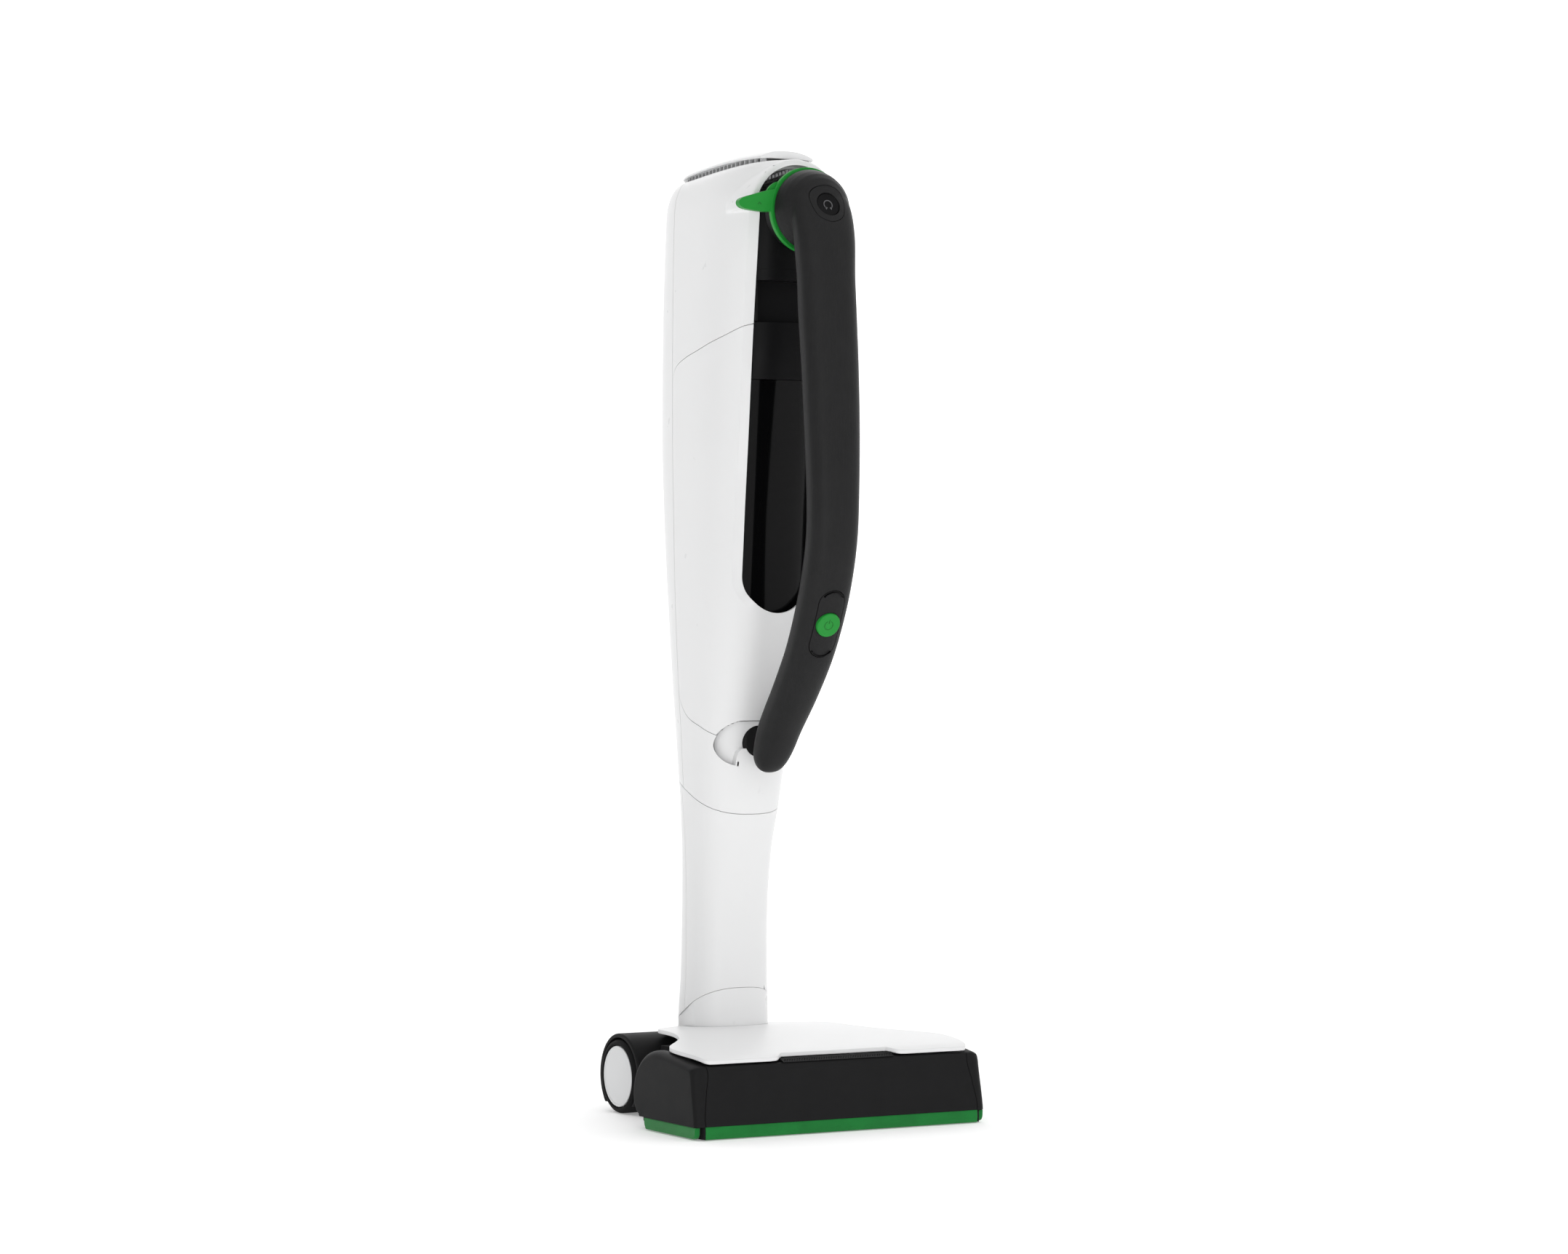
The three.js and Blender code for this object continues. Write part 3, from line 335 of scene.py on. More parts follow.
# ------------------------------------------------------------------ materials
def mat(name, base, rough, spec=0.5, metal=0.0, grain=0.0, grain_scale=1800.0, var=0.04, stretch=None, coat=0.0, sheen=0.0,
        bevel=0.35, rough_var=0.06, wear=0.0, tint=None, mottle=60.0, ior=1.45):
    m = bpy.data.materials.new(name); m.use_nodes = True
    nt = m.node_tree; N, L = nt.nodes, nt.links
    for x in list(N): N.remove(x)
    out = N.new("ShaderNodeOutputMaterial"); bs = N.new("ShaderNodeBsdfPrincipled")
    L.new(bs.outputs[0], out.inputs[0])
    tc = N.new("ShaderNodeTexCoord")
    mp = N.new("ShaderNodeMapping"); L.new(tc.outputs["Object"], mp.inputs["Vector"])
    if stretch: mp.inputs["Scale"].default_value = stretch
    bs.inputs["Metallic"].default_value = metal
    bs.inputs["IOR"].default_value = ior
    bs.inputs["Specular IOR Level"].default_value = spec
    bs.inputs["Coat Weight"].default_value = coat
    bs.inputs["Coat Roughness"].default_value = 0.12
    if sheen:
        bs.inputs["Sheen Weight"].default_value = sheen
        bs.inputs["Sheen Roughness"].default_value = 0.5
    # slow mottling in tone
    n1 = N.new("ShaderNodeTexNoise"); n1.inputs["Scale"].default_value = mottle; n1.inputs["Detail"].default_value = 4
    L.new(tc.outputs["Object"], n1.inputs["Vector"])
    n2 = N.new("ShaderNodeTexNoise"); n2.inputs["Scale"].default_value = grain_scale; n2.inputs["Detail"].default_value = 3
    L.new(mp.outputs[0], n2.inputs["Vector"])
    hi = [min(1.0, c * (1 + var)) for c in base]; lo = [c * (1 - var) for c in (tint or base)]
    mx = N.new("ShaderNodeMix"); mx.data_type = "RGBA"
    mx.inputs[6].default_value = (*lo, 1); mx.inputs[7].default_value = (*hi, 1)
    av = N.new("ShaderNodeMath"); av.operation = "ADD"; L.new(n1.outputs["Fac"], av.inputs[0]); L.new(n2.outputs["Fac"], av.inputs[1])
    hv = N.new("ShaderNodeMath"); hv.operation = "MULTIPLY"; hv.inputs[1].default_value = 0.5; L.new(av.outputs[0], hv.inputs[0])
    L.new(hv.outputs[0], mx.inputs[0])
    col = mx.outputs[2]
    if wear:
        ge = N.new("ShaderNodeNewGeometry")
        rp = N.new("ShaderNodeMapRange"); rp.inputs[1].default_value = 0.53; rp.inputs[2].default_value = 0.62
        L.new(ge.outputs["Pointiness"], rp.inputs[0])
        mw = N.new("ShaderNodeMath"); mw.operation = "MULTIPLY"; L.new(rp.outputs[0], mw.inputs[0]); L.new(n1.outputs["Fac"], mw.inputs[1])
        ms = N.new("ShaderNodeMath"); ms.operation = "MULTIPLY"; ms.inputs[1].default_value = wear; L.new(mw.outputs[0], ms.inputs[0])
        m2 = N.new("ShaderNodeMix"); m2.data_type = "RGBA"
        L.new(ms.outputs[0], m2.inputs[0]); L.new(col, m2.inputs[6])
        m2.inputs[7].default_value = (*[min(1, c * 1.6 + 0.03) for c in base], 1)
        col = m2.outputs[2]
    L.new(col, bs.inputs["Base Color"])
    mr = N.new("ShaderNodeMapRange"); mr.inputs[3].default_value = max(0.02, rough - rough_var); mr.inputs[4].default_value = rough + rough_var
    L.new(n1.outputs["Fac"], mr.inputs[0]); L.new(mr.outputs[0], bs.inputs["Roughness"])
    bv = N.new("ShaderNodeBevel"); bv.samples = 4; bv.inputs["Radius"].default_value = bevel / 1000
    if grain:
        bp = N.new("ShaderNodeBump"); bp.inputs["Strength"].default_value = grain; bp.inputs["Distance"].default_value = 0.0003
        L.new(n2.outputs["Fac"], bp.inputs["Height"]); L.new(bv.outputs[0], bp.inputs["Normal"]); L.new(bp.outputs[0], bs.inputs["Normal"])
    else:
        L.new(bv.outputs[0], bs.inputs["Normal"])
    return m


M = {
    "white": mat("white_gloss", (0.83, 0.832, 0.834), 0.30, spec=0.4, grain=0.03, var=0.006, bevel=0.5, wear=0.0),
    "white_head": mat("white_cover", (0.83, 0.832, 0.834), 0.36, spec=0.4, grain=0.05, grain_scale=2600, var=0.006, bevel=1.2),
    "vent": mat("vent_grey", (0.56, 0.565, 0.57), 0.5, spec=0.3, grain=0.05, var=0.03, bevel=0.4),
    "grey": mat("grey_plastic", (0.30, 0.305, 0.31), 0.45, spec=0.4, grain=0.08, var=0.05),
    "black": mat("black_grained", (0.0135, 0.0135, 0.014), 0.5, spec=0.3, grain=0.22, grain_scale=3200, var=0.08, bevel=0.6, wear=0.10, ior=1.2),
    "channel": mat("black_channel", (0.007, 0.007, 0.0075), 0.4, spec=0.3, grain=0.06, var=0.06, bevel=0.5, ior=1.2),
    "gloss": mat("black_gloss", (0.002, 0.002, 0.0023), 0.09, spec=0.5, var=0.02, bevel=0.3, rough_var=0.02, ior=1.2),
    "grip": mat("grip_brushed", (0.019, 0.019, 0.0195), 0.42, spec=0.4, grain=0.35, grain_scale=1100, var=0.22, stretch=(1.0, 1.0, 0.03), bevel=0.4, wear=0.05, ior=1.2),
    "green": mat("green_plastic", (0.014, 0.255, 0.032), 0.38, spec=0.25, grain=0.04, var=0.03, bevel=0.4),
    "green_dark": mat("green_mark", (0.008, 0.15, 0.018), 0.5, spec=0.3, var=0.03),
    "mark": mat("grey_mark", (0.10, 0.10, 0.105), 0.5, spec=0.3, var=0.03),
    "felt": mat("green_felt", (0.012, 0.21, 0.038), 0.92, spec=0.1, grain=0.9, grain_scale=2400, var=0.30, sheen=0.25, bevel=0.8, tint=(0.010, 0.15, 0.03)),
    "rubber": mat("rubber_black", (0.012, 0.012, 0.0125), 0.66, spec=0.3, grain=0.25, grain_scale=2500, var=0.08, bevel=0.5, ior=1.2),
    "hub": mat("hub_white", (0.74, 0.745, 0.75), 0.42, spec=0.4, grain=0.12, grain_scale=1500, var=0.015, bevel=0.5),
    "steel": mat("steel", (0.55, 0.56, 0.57), 0.28, metal=1.0, grain=0.1, var=0.04),
    "copper": mat("copper", (0.60, 0.30, 0.14), 0.32, metal=1.0, grain=0.1, var=0.06),
    "board": mat("board", (0.015, 0.11, 0.045), 0.5, grain=0.1, var=0.06),
    "paper": mat("fleece", (0.78, 0.74, 0.66), 0.95, spec=0.15, grain=0.6, grain_scale=900, var=0.06),
    "bristle": mat("bristle", (0.02, 0.021, 0.023), 0.7, spec=0.3, grain=0.6, grain_scale=2600, var=0.2),
}


def done(ob, name, m, body, nodes=(), angle=32, weighted=True):
    ob.name = name; ob.data.name = name
    me = ob.data
    me.materials.clear(); me.materials.append(M[m])
    bm = bmesh.new(); bm.from_mesh(me)
    bmesh.ops.remove_doubles(bm, verts=bm.verts, dist=1.2e-5)
    bmesh.ops.dissolve_degenerate(bm, edges=bm.edges, dist=1.2e-5)
    bm.to_mesh(me); bm.free()
    me.shade_smooth()
    me.set_sharp_from_angle(angle=math.radians(angle))
    if weighted:
        w = ob.modifiers.new("w", "WEIGHTED_NORMAL"); w.keep_sharp = True; w.mode = "FACE_AREA"; w.weight = 50
    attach(ob, body)
    if nodes:
        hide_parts(*nodes)
    return ob


# ------------------------------------------------------------------ body shells
def win_outline(half, r_foot, top, n=40):
    """U outline in (x, z), counter-clockwise from the top right"""
    z0 = 470.0
    pts = [(half, z) for z in np.linspace(top, z0, 80)]
    pts += [(half * math.cos(t), z0 + r_foot * math.sin(t)) for t in np.linspace(0, -pi, n)[1:-1]]
    pts += [(-half, z) for z in np.linspace(z0, top, 80)]
    return pts


def window_cutter():
    O = win_outline(38.6, 39.0, 905)
    I = win_outline(31.9, 32.6, 905)
    c_ring = [(x, front_y(x, min(z, 800)), z) for x, z in O]
    e_ring = []
    for (xo, zo), (xi, zi), c in zip(O, I, c_ring):
        e_ring.append((xi, min(c[1] - 2.6, front_y(xi, min(zi, 800)) + 2.6), zi))
    deep = [(x, -60.0, z) for x, y, z in e_ring]
    # past the surface the cutter has to open to the front without re-entering, so jump straight forward
    far1 = [(c[0], -190.0, c[2]) for c in c_ring]
    return loft([deep, e_ring, c_ring, far1])


def stadium(r, half=37.0, z=324.1, n=24):
    a = [(half - 19.5 + r * math.cos(t), z + r * math.sin(t)) for t in np.linspace(-pi / 2, pi / 2, n)]
    b = [(-half + 19.5 + r * math.cos(t), z + r * math.sin(t)) for t in np.linspace(pi / 2, 3 * pi / 2, n)]
    return a + b


outer = body_loft(0, 236, 900)
inner = body_loft(WALL, 230, 900)
shell = sub(copy(outer), copy(inner))
above_neck = lambda: prism("x", [(-170, neck_top(-170) + g2), (70, neck_top(70) + g2), (70, 900), (-170, 900)], -80, 80)

# flat seat under the lid, cut into the crown
vent = lambda: loft([ring(812, 23), ring(845, 23)])

rear = copy(shell)
cap(rear, box(-80, 80, seamY + g2, 70, 200, 900), above_neck())
sub(rear, vent())
done(rear, "v_rear_housing", "white", "body", ["rear_housing"])

# upper housing: crown blended into the collar round the handle's hinge
up = body_loft(0, 628, 900)
hood = lathe("y", [(1e-3, -137.2), (44.6, -137.2), (45.6, -136.6), (46.0, -134), (46.6, -127), (47.2, -118), (47.6, -108), (47.6, -96), (1e-3, -96)], 0, HZ, 128)
cap(hood, box(-51, 51, -150, -90, HZ + 2, 900))
add(up, hood)
soften(up, 0.9, 44)
cap(up, box(-80, 80, -180, seamY - g2, 600, 900),
    prism("x", [*shift(UP, g2), (-6.7, 900), (-175, 900)], -80, 80))
inn = body_loft(WALL, 620, 900)
sub(up, inn)
add(up, cap(tube_lathe("y", [(38.2, -136.9), (44.9, -136.9), (45.4, -136.4), (45.4, -122), (38.2, -122)], 0, HZ, 128), box(-60, 60, -150, -100, HZ + 1, 828)))
sub(up, vent())
wc = window_cutter()
cap(wc, box(-70, 70, -200, -50, 400, HZ + 3))
sub(up, wc, cap(lathe("y", [(1e-3, -180), (40.6, -180), (40.6, -128), (38.4, -126), (38.4, -100), (1e-3, -100)], 0, HZ, 128), box(-60, 60, -200, -80, HZ + 2, 900)),
    lathe("y", [(1e-3, -180), (32, -180), (32, -128), (31, -100), (1e-3, -100)], 0, HZ, 128))
done(up, "v_upper_housing", "white", "body", ["upper_housing"])

# filter door
door = copy(shell)
cap(door, box(-80, 80, -180, seamY - g2, 200, 900),
    prism("x", [*shift(UP, -g2), *shift(LO, g2), (-175, 329.8 + g2)], -80, 80))
wc = window_cutter()
sub(door, wc, prism("y", stadium(19.5 + 0.45), -120, -30))
done(door, "v_filter_door", "white", "door", ["filter_door"])

# lower collar with its scooped dock
col = copy(shell)
low = prism("x", [*shift(LO, -g2), (-175, 329.8 - g2), (-175, 180), (-6.7, 180)], -80, 80)
cap(col, box(-80, 80, -180, seamY - g2, 200, 900), low, above_neck())
pad = cap(copy(outer), prism("y", stadium(19.3), -110, -48))
add(col, pad)
nose_top = [(-15.4, 319.6), (-18.6, 316.6), (-19.6, 312.4), (-19.9, 300), (19.9, 300), (19.6, 312.4), (18.6, 316.6), (15.4, 319.6)]
scoop = cap(body_loft(-3, 280, 380), prism("y", stadium(19.3), -120, -30))
sub(scoop, cap(body_loft(5.6, 270, 390), box(-60, 60, -120, -20, 260, 400)), prism("y", nose_top, -140, -30))
sub(col, scoop, round_cyl("y", 13.6, -110, -40, 0, 326, 0.2))
done(col, "v_lower_collar", "white", "body", ["lower_collar"])
lb = round_cyl("y", 13.1, -69.0, -56, 0, 326, 1.6)
done(lb, "v_latch_button", "black", "door_latch", ["latch_button"])

# neck and knuckle
def neck_loft(inset, z0=50, z1=300, n=176):
    return loft([ring(z, inset, n) for z in np.arange(z0, z1 + 0.1, 5)])
NO, NI = neck_loft(0), neck_loft(WALL, 45, 305)
below_body = lambda: prism("x", [(-110, neck_top(-110) - g2), (70, neck_top(70) - g2), (70, -60), (-110, -60)], -80, 80)
def sw_block(up_side, d):
    e = 900 if up_side else -60
    ys = [-110, 70]
    return prism("x", [(ys[0], swivel(ys[0]) + d), (ys[1], swivel(ys[1]) + d), (ys[1], e), (ys[0], e)], -80, 80)
nsh = sub(copy(NO), NI)
cap(nsh, below_body(), sw_block(True, 0.2))
floor_plate = cap(copy(NO), prism("x", [(-60, swivel(-60) + .2), (50, swivel(50) + .2), (50, swivel(50) + 4), (-60, swivel(-60) + 4)], -60, 60))
sub(floor_plate, round_cyl("z", 17, 0, 200, 0, -5, 0.2))
nf = copy(nsh); cap(nf, box(-80, 80, -120, -2.5 - 0.18, 40, 340))
add(nf, cap(copy(floor_plate), box(-80, 80, -120, -2.5 - 0.18, 40, 340)))
done(nf, "v_neck_front", "white", "body", ["neck_front"])
nr = nsh; cap(nr, box(-80, 80, -2.5 + 0.18, 70, 40, 340)); sub(nr, box(-9, 9, 10, 50, 246, 264))
done(nr, "v_neck_rear", "white", "body", ["neck_rear"])
rb = box(-8.6, 8.6, 17, 27.5, 246.4, 263.6)
md = rb.modifiers.new("b", "BEVEL"); md.width = 0.0016; md.segments = 5; bake(rb)
done(rb, "v_release_button", "grey", "body_release", ["release_button"])

kn = copy(NO); drop(NO); drop(floor_plate)
side = prism("x", [(-39.5, 140), (-39.5, 74), (-36, 62), (-30, 48), (30, 48), (31.4, 62), (31.4, 140)], -36.6, 36.6)
cap(kn, sw_block(False, -0.2), side)
add(kn, round_cyl("x", 31.6, -36.6, 36.6, 0, AXZ, 1.5, 128))
sub(kn, round_cyl("x", 6.3, -60, 60, 0, AXZ, 0.2, 48), round_cyl("z", 14, 47, 200, 0, -5, 0.2))
done(kn, "v_knuckle", "white", "knuckle", ["knuckle"])

# exhaust: dark slotted ring and the thin lid over it
def lens(y): return 1.0 - 2.4 * ((y + 48) / 78.0) ** 2
lid_prof = [(823.2, 20), (822.6, 14.6), (822.4, 13.4), (822.7, 12.6), (823.4, 12.3), (824.2, 12.7), (825.6, 14.8), (827.4, 18.6), (829.2, 24), (830.6, 30.5), (831.5, 37), (831.9, 43)]
lid = loft([ring(z, i, 192, bump=lens) for z, i in lid_prof])
cap(lid, box(-80, 80, -119.5, 60, 700, 836.8))
done(lid, "v_exhaust_lid", "white", "body", ["exhaust_lid"])
gr = sub(loft([ring(z, i, 192) for z, i in [(816.8, 16), (824.4, 16)]]), loft([ring(812, 19), ring(840, 19)]))
add(gr, sub(loft([ring(816.8, 13.8), ring(818.2, 13.8)]), loft([ring(812, 24), ring(840, 24)])))
for k in range(22):
    y = -112 + k * 6.4
    sub(gr, box(-80, 80, y - 2.3, y + 2.3, 819.0 + lean(820, y), 823.0 + lean(820, y)))
cap(gr, box(-80, 80, -117, 60, 700, 900))
done(gr, "v_exhaust_grille", "vent", "body", ["exhaust_grille"])

# dark channel on the front
ch = loft([[(x, front_y(x, z) + 3.4 + (0.9 * ((abs(x) / 32.0) ** 2) * -1.0), z) for x in np.linspace(31.6, -31.6, 60)] + [(x, -104.0, z) for x in np.linspace(-31.6, 31.6, 6)] for z in np.arange(732.4, 786.1, 2.5)])
lip = loft([[(x, front_y(x, z) + 3.2, z) for x in np.linspace(31.6, -31.6, 60)] + [(x, -104.0, z) for x in np.linspace(-31.6, 31.6, 6)] for z in (723.0, 723.6, 732.0, 732.6)])
back = box(-31.6, 31.6, -112.6, -104, 688.0, 727)
cheek = [prism("z", [(s * 31.6, -104), (s * 31.6, front_y(31.6, 710) + 2.6), (s * 28.6, front_y(31.6, 710) + 4.0), (s * 27.6, -104)], 688.0, 727) for s in (-1, 1)]
add(ch, lip, back, *cheek)
done(ch, "v_front_channel", "channel", "body", ["front_channel"])

def skin(z0, z1, d0, d1, half, step=3.0, belly=None):
    """curved slab following the body's front"""
    rings = []
    for z in [*np.arange(z0, z1, step), z1]:
        b = belly(z) if belly else 0.0
        xs = np.linspace(half, -half, 64)
        rings.append([(x, front_y(x, z) + d0 + b, z) for x in xs] + [(x, front_y(x, z) + d1 + b, z) for x in xs[::-1]])
    return loft(rings)

gp = skin(638.6, 687.2, 0.9, 12.0, 31.4, belly=lambda z: 1.6 * (1 - math.sin(pi * min(1, max(0, (z - 638.6) / 48.6)))) )
done(gp, "v_door_grip", "channel", "door", ["door_grip"])

wd = loft([[(x, front_y(0, z) + 7.2 + 0.018 * x * x * 0.4 + 0.9 * math.cos(x / 31.5 * pi), z) for x in np.linspace(36.4, -36.4, 90)] + [(x, front_y(x, z) + 13, z) for x in np.linspace(-36.4, 36.4, 30)] for z in np.arange(429, 645, 3.0)])
cap(wd, prism("y", win_outline(36.4, 36.4, 641), -180, -60), box(-60, 60, -180, -60, 430, 638.4))
cap(wd, body_loft(3.4, 420, 660))
done(wd, "v_door_window", "gloss", "door", ["door_window"])

# hinge hub plate behind the ring
hub = lathe("y", [(1e-3, -137), (31.5, -137), (31.5, -149.4), (30.4, -151), (12, -151), (12, -176), (1e-3, -176)], 0, HZ, 128)
done(hub, "v_hinge_hub", "channel", "body", ["hinge_hub"])

# ------------------------------------------------------------------ handle
BOW = [[-171.0, 799, 21, 9.6], [-178.4, 781, 27, 12.6], [-184.4, 756, 27.4, 15.8], [-187.5, 722, 25.6, 17], [-190, 690, 25.6, 17], [-194.2, 645, 25, 16.8], [-197.5, 593, 24.2, 16.5],
       [-199, 540, 22.8, 16.2], [-197, 500, 22.2, 16], [-188, 464, 22, 15.9], [-175, 432, 21.6, 15.8], [-158, 401, 20.9, 15.5], [-134, 369, 20, 15], [-110, 341, 18.8, 14.4],
       [-98, 323.5, 17.6, 13.4], [-90.4, 311.4, 15.2, 11.2], [-86.2, 304.2, 11.2, 8.0], [-84.4, 300.9, 6.0, 4.2], [-83.9, 299.9, 2.0, 1.4]]
BS = spline(BOW, 12)


def grip_loft(inset=0.0, i0=0, i1=None, shape=None, n=72):
    pts = BS[i0:i1]
    rings = []
    for k in range(len(pts)):
        a = pts[max(0, k - 1)]; b = pts[min(len(pts) - 1, k + 1)]
        ty, tz = b[0] - a[0], b[1] - a[1]; l = math.hypot(ty, tz) or 1
        ny, nz = tz / l, -ty / l
        if shape:
            sec = shape(pts[k][2], pts[k][3])
        else:
            sec = []
            for i in range(n):
                t = 2 * pi * i / n; c, s = math.cos(t), math.sin(t); p = 2.3 if s > 0 else 3.0
                r = (abs(c) ** p + abs(s) ** p) ** (-1 / p)
                sec.append(((pts[k][2] - inset) * c * r, (pts[k][3] - inset) * s * r))
        rings.append([(x, pts[k][0] + ny * d, pts[k][1] + nz * d) for x, d in sec])
    return loft(rings)


def local(ang_deg, cy, cz):
    """frame with local x = row x, local y up the face, local z out of it; positive angle leans the face down"""
    t = math.radians(ang_deg)
    return np.array([[1, 0, 0], [0, -math.sin(t), math.cos(t)], [0, -math.cos(t), -math.sin(t)]]), np.array([0, cy, cz])


def plate(pts, d0, d1, fr, name="tmp"):
    A, o = fr
    n = len(pts)
    v = [o + A[0] * x + A[1] * y + A[2] * d for d in (d0, d1) for x, y in pts]
    f = [tuple(range(n)), tuple(range(2 * n - 1, n - 1, -1))] + [(i, n + i, n + (i + 1) % n, (i + 1) % n) for i in range(n)]
    ob = new_obj(name, v, f)
    bm = bmesh.new(); bm.from_mesh(ob.data)
    bmesh.ops.triangulate(bm, faces=[x for x in bm.faces if len(x.verts) > 4], ngon_method="EAR_CLIP")
    bmesh.ops.recalc_face_normals(bm, faces=bm.faces)
    bm.to_mesh(ob.data); bm.free()
    return outward(ob)


def turned(prof, fr, seg=96, name="tmp"):
    """profile [radius, depth] turned about the face's normal"""
    A, o = fr
    return loft([[o + A[0] * r * math.cos(2 * pi * i / seg) + A[1] * r * math.sin(2 * pi * i / seg) + A[2] * d for i in range(seg)] for r, d in [(max(r, 1e-3), d) for r, d in prof]], name)


def circle(r, n=72): return [(r * math.cos(2 * pi * i / n), r * math.sin(2 * pi * i / n)) for i in range(n)]
def slot_pts(w, l, n=28):
    return [(w * math.cos(t), l / 2 - w + w * math.sin(t)) for t in np.linspace(0, pi, n)] + [(w * math.cos(t), -l / 2 + w + w * math.sin(t)) for t in np.linspace(pi, 2 * pi, n)]


PADF = local(25.5, -175.7, 433.6)
HBF = local(-21, -189.3, HZ + 1.8)
head = lathe("y", [(1e-3, -188.2), (8, -187.9), (14, -186.8), (20, -184.6), (25.5, -180.6), (29.6, -175.6), (32.4, -169.4), (34.0, -164), (34.6, -160.6), (34.6, -158.6), (33.6, -157.7), (1e-3, -157.7)], 0, HZ, 128)
gsolid = grip_loft()
add(gsolid, head)
soften(gsolid, 0.8, 16)
cap(gsolid, box(-60, 60, -260, -60, 200, 830))
core = grip_loft(3.0, 14, -40)
solid_ref = copy(gsolid)
band = lambda d: grip_loft(shape=lambda ax, ay: [(-ax + 2.2 - d, -ay + 6.4 + d), (-ax + 2.2 - d, -ay - 6), (ax - 2.2 + d, -ay - 6), (ax - 2.2 + d, -ay + 6.4 + d)], i0=22, i1=-26)
back_piece = cap(copy(gsolid), band(0)); sub(back_piece, copy(core))
done(back_piece, "v_handle_back", "grip", "handle", ["handle_back"])
shield = spline([(0, 17.2), (9, 15.6), (14.8, 11.2), (16.2, 4), (14.2, -6), (10.0, -12.6), (0, -16.4), (-10.0, -12.6), (-14.2, -6), (-16.2, 4), (-14.8, 11.2), (-9, 15.6)], 8, True)
shield = [(float(x), float(y)) for x, y in shield]
hs = gsolid
sub(hs, core, band(0.35), plate(slot_pts(12.7, 62.8), 3, 40, PADF),
    plate([(x * 1.03, y * 1.03) for x, y in shield], -5.5, 14, HBF), turned([(0, -7.5), (12.4, -7.5), (12.4, 0), (0, 0)], HBF),
    lathe("y", [(1e-3, -150), (12.4, -150), (12.4, -177), (1e-3, -177)], 0, HZ, 64))
done(hs, "v_handle_shell", "grip", "handle", ["handle_shell"])
bz = cap(copy(solid_ref), plate(shield, -5, 14, HBF))
sub(bz, turned([(0, -8), (10.9, -8), (10.9, 20), (0, 20)], HBF))
done(bz, "v_rotate_bezel", "grip", "handle", ["rotate_bezel"])
rbt = turned([(0, -4.2), (9.9, -4.2), (10.5, -3.7), (10.5, 0.2), (10.2, 0.7), (9.6, 0.8), (6, 0.35), (0, 0.1)], HBF)
done(rbt, "v_rotate_button", "channel", "rotate_button", ["rotate_button"])
# open circular arrow on the button
def arc_band(r0, r1, a0, a1, n=40):
    t = np.linspace(math.radians(a0), math.radians(a1), n)
    return [(r1 * math.cos(x), r1 * math.sin(x)) for x in t] + [(r0 * math.cos(x), r0 * math.sin(x)) for x in t[::-1]]
ic = [plate(arc_band(3.5, 4.4, -52, 232), 0.0, 0.62, HBF)]
for sgn in (-1, 1):
    b = math.radians(-52 if sgn > 0 else 232); cx, cy = 3.95 * math.cos(b), 3.95 * math.sin(b)
    ic.append(plate([(cx - 1.5 * sgn * 1.0, cy + 0.3), (cx + 1.2 * sgn, cy + 1.3), (cx + 0.1 * sgn, cy - 1.7)], 0.0, 0.62, HBF))
done(join("tmp", ic), "v_rotate_icon", "mark", "rotate_button")

pd = cap(copy(solid_ref), plate(slot_pts(12.1, 61.6), 10.6, 40, PADF))
sub(pd, turned([(0, 3), (11.3, 3), (11.3, 40), (0, 40)], PADF))
rim = sub(plate(slot_pts(11.2, 59.8), 15.0, 40, PADF), plate(slot_pts(10.5, 58.4), 8, 41, PADF))
sub(pd, sub(rim, cap(copy(solid_ref), plate(slot_pts(30, 90), 6, 15.35, PADF))))
done(pd, "v_control_pad", "grip", "control_pad", ["control_pad"])
pb = turned([(0, 12.2), (10.4, 12.2), (10.9, 12.7), (10.9, 16.2), (10.6, 16.9), (10.0, 17.2), (8.2, 17.15), (0, 16.9)], PADF)
done(pb, "v_power_button", "green", "power_button", ["power_button"])
pi_ = [plate(arc_band(3.6, 4.2, 115, 425), 16.4, 17.18, PADF), plate([(-0.32, 1.6), (0.32, 1.6), (0.32, 5.4), (-0.32, 5.4)], 16.4, 17.2, PADF)]
done(join("tmp", pi_), "v_power_icon", "green_dark", "power_button")
gl = []
for s in (1, -1):
    arcp = [(x, y + s * 18.6) for x, y in (arc_band(10.9, 11.7, 35, 145) if s > 0 else arc_band(10.9, 11.7, 215, 325))]
    gl.append(plate(arcp, 11.6, 15.65, PADF))
done(join("tmp", gl), "v_pad_glints", "gloss", "control_pad")
drop(solid_ref)

# green unlocking ring with its side lever
rg = tube_lathe("y", [(12.4, -156.8), (36.4, -156.8), (37.0, -156.2), (37.0, -153.2), (36.2, -152.2), (35, -151.6), (12.4, -151.6)], 0, HZ, 160)
lv = spline([(-31, 778.8), (-44, 778.2), (-56, 779.0), (-62.5, 780.0), (-66, 781.6), (-67.6, 784.2), (-66.8, 787.0), (-63.6, 789.2), (-54, 792.2), (-44, 795.2), (-36, 797.2), (-29, 798.2)], 8)
lev = prism("y", [(float(x), float(z)) for x, z in lv], -157.0, -149.8)
m_ = lev.modifiers.new("b", "BEVEL"); m_.width = 0.0011; m_.segments = 4; m_.limit_method = "ANGLE"; m_.angle_limit = math.radians(50); bake(lev)
for k in range(9):
    x = -62 + k * 2.0
    sub(lev, round_cyl("y", 0.55, -160, -146, x, 778.5 + (0.6 if k < 2 else 0), 0.1, 16))
base = prism("y", [(float(x), float(z)) for x, z in spline([(-35.5, 778), (-40.5, 782), (-41.8, 788), (-39.6, 795), (-36.5, 800), (-30.5, 804), (-24, 804.5), (-22, 798)], 6)], -153.6, -151.7)
add(rg, cap(lev, sub(box(-80, -20, -156.7, -150.2, 760, 812), lathe("y", [(1e-3, -170), (30, -170), (30, -140), (1e-3, -140)], 0, HZ, 96))), base)
sub(rg, round_cyl("y", 12.35, -170, -140, 0, HZ, 0.1, 96))
done(rg, "v_lever_ring", "green", "lever", ["lever_ring"])
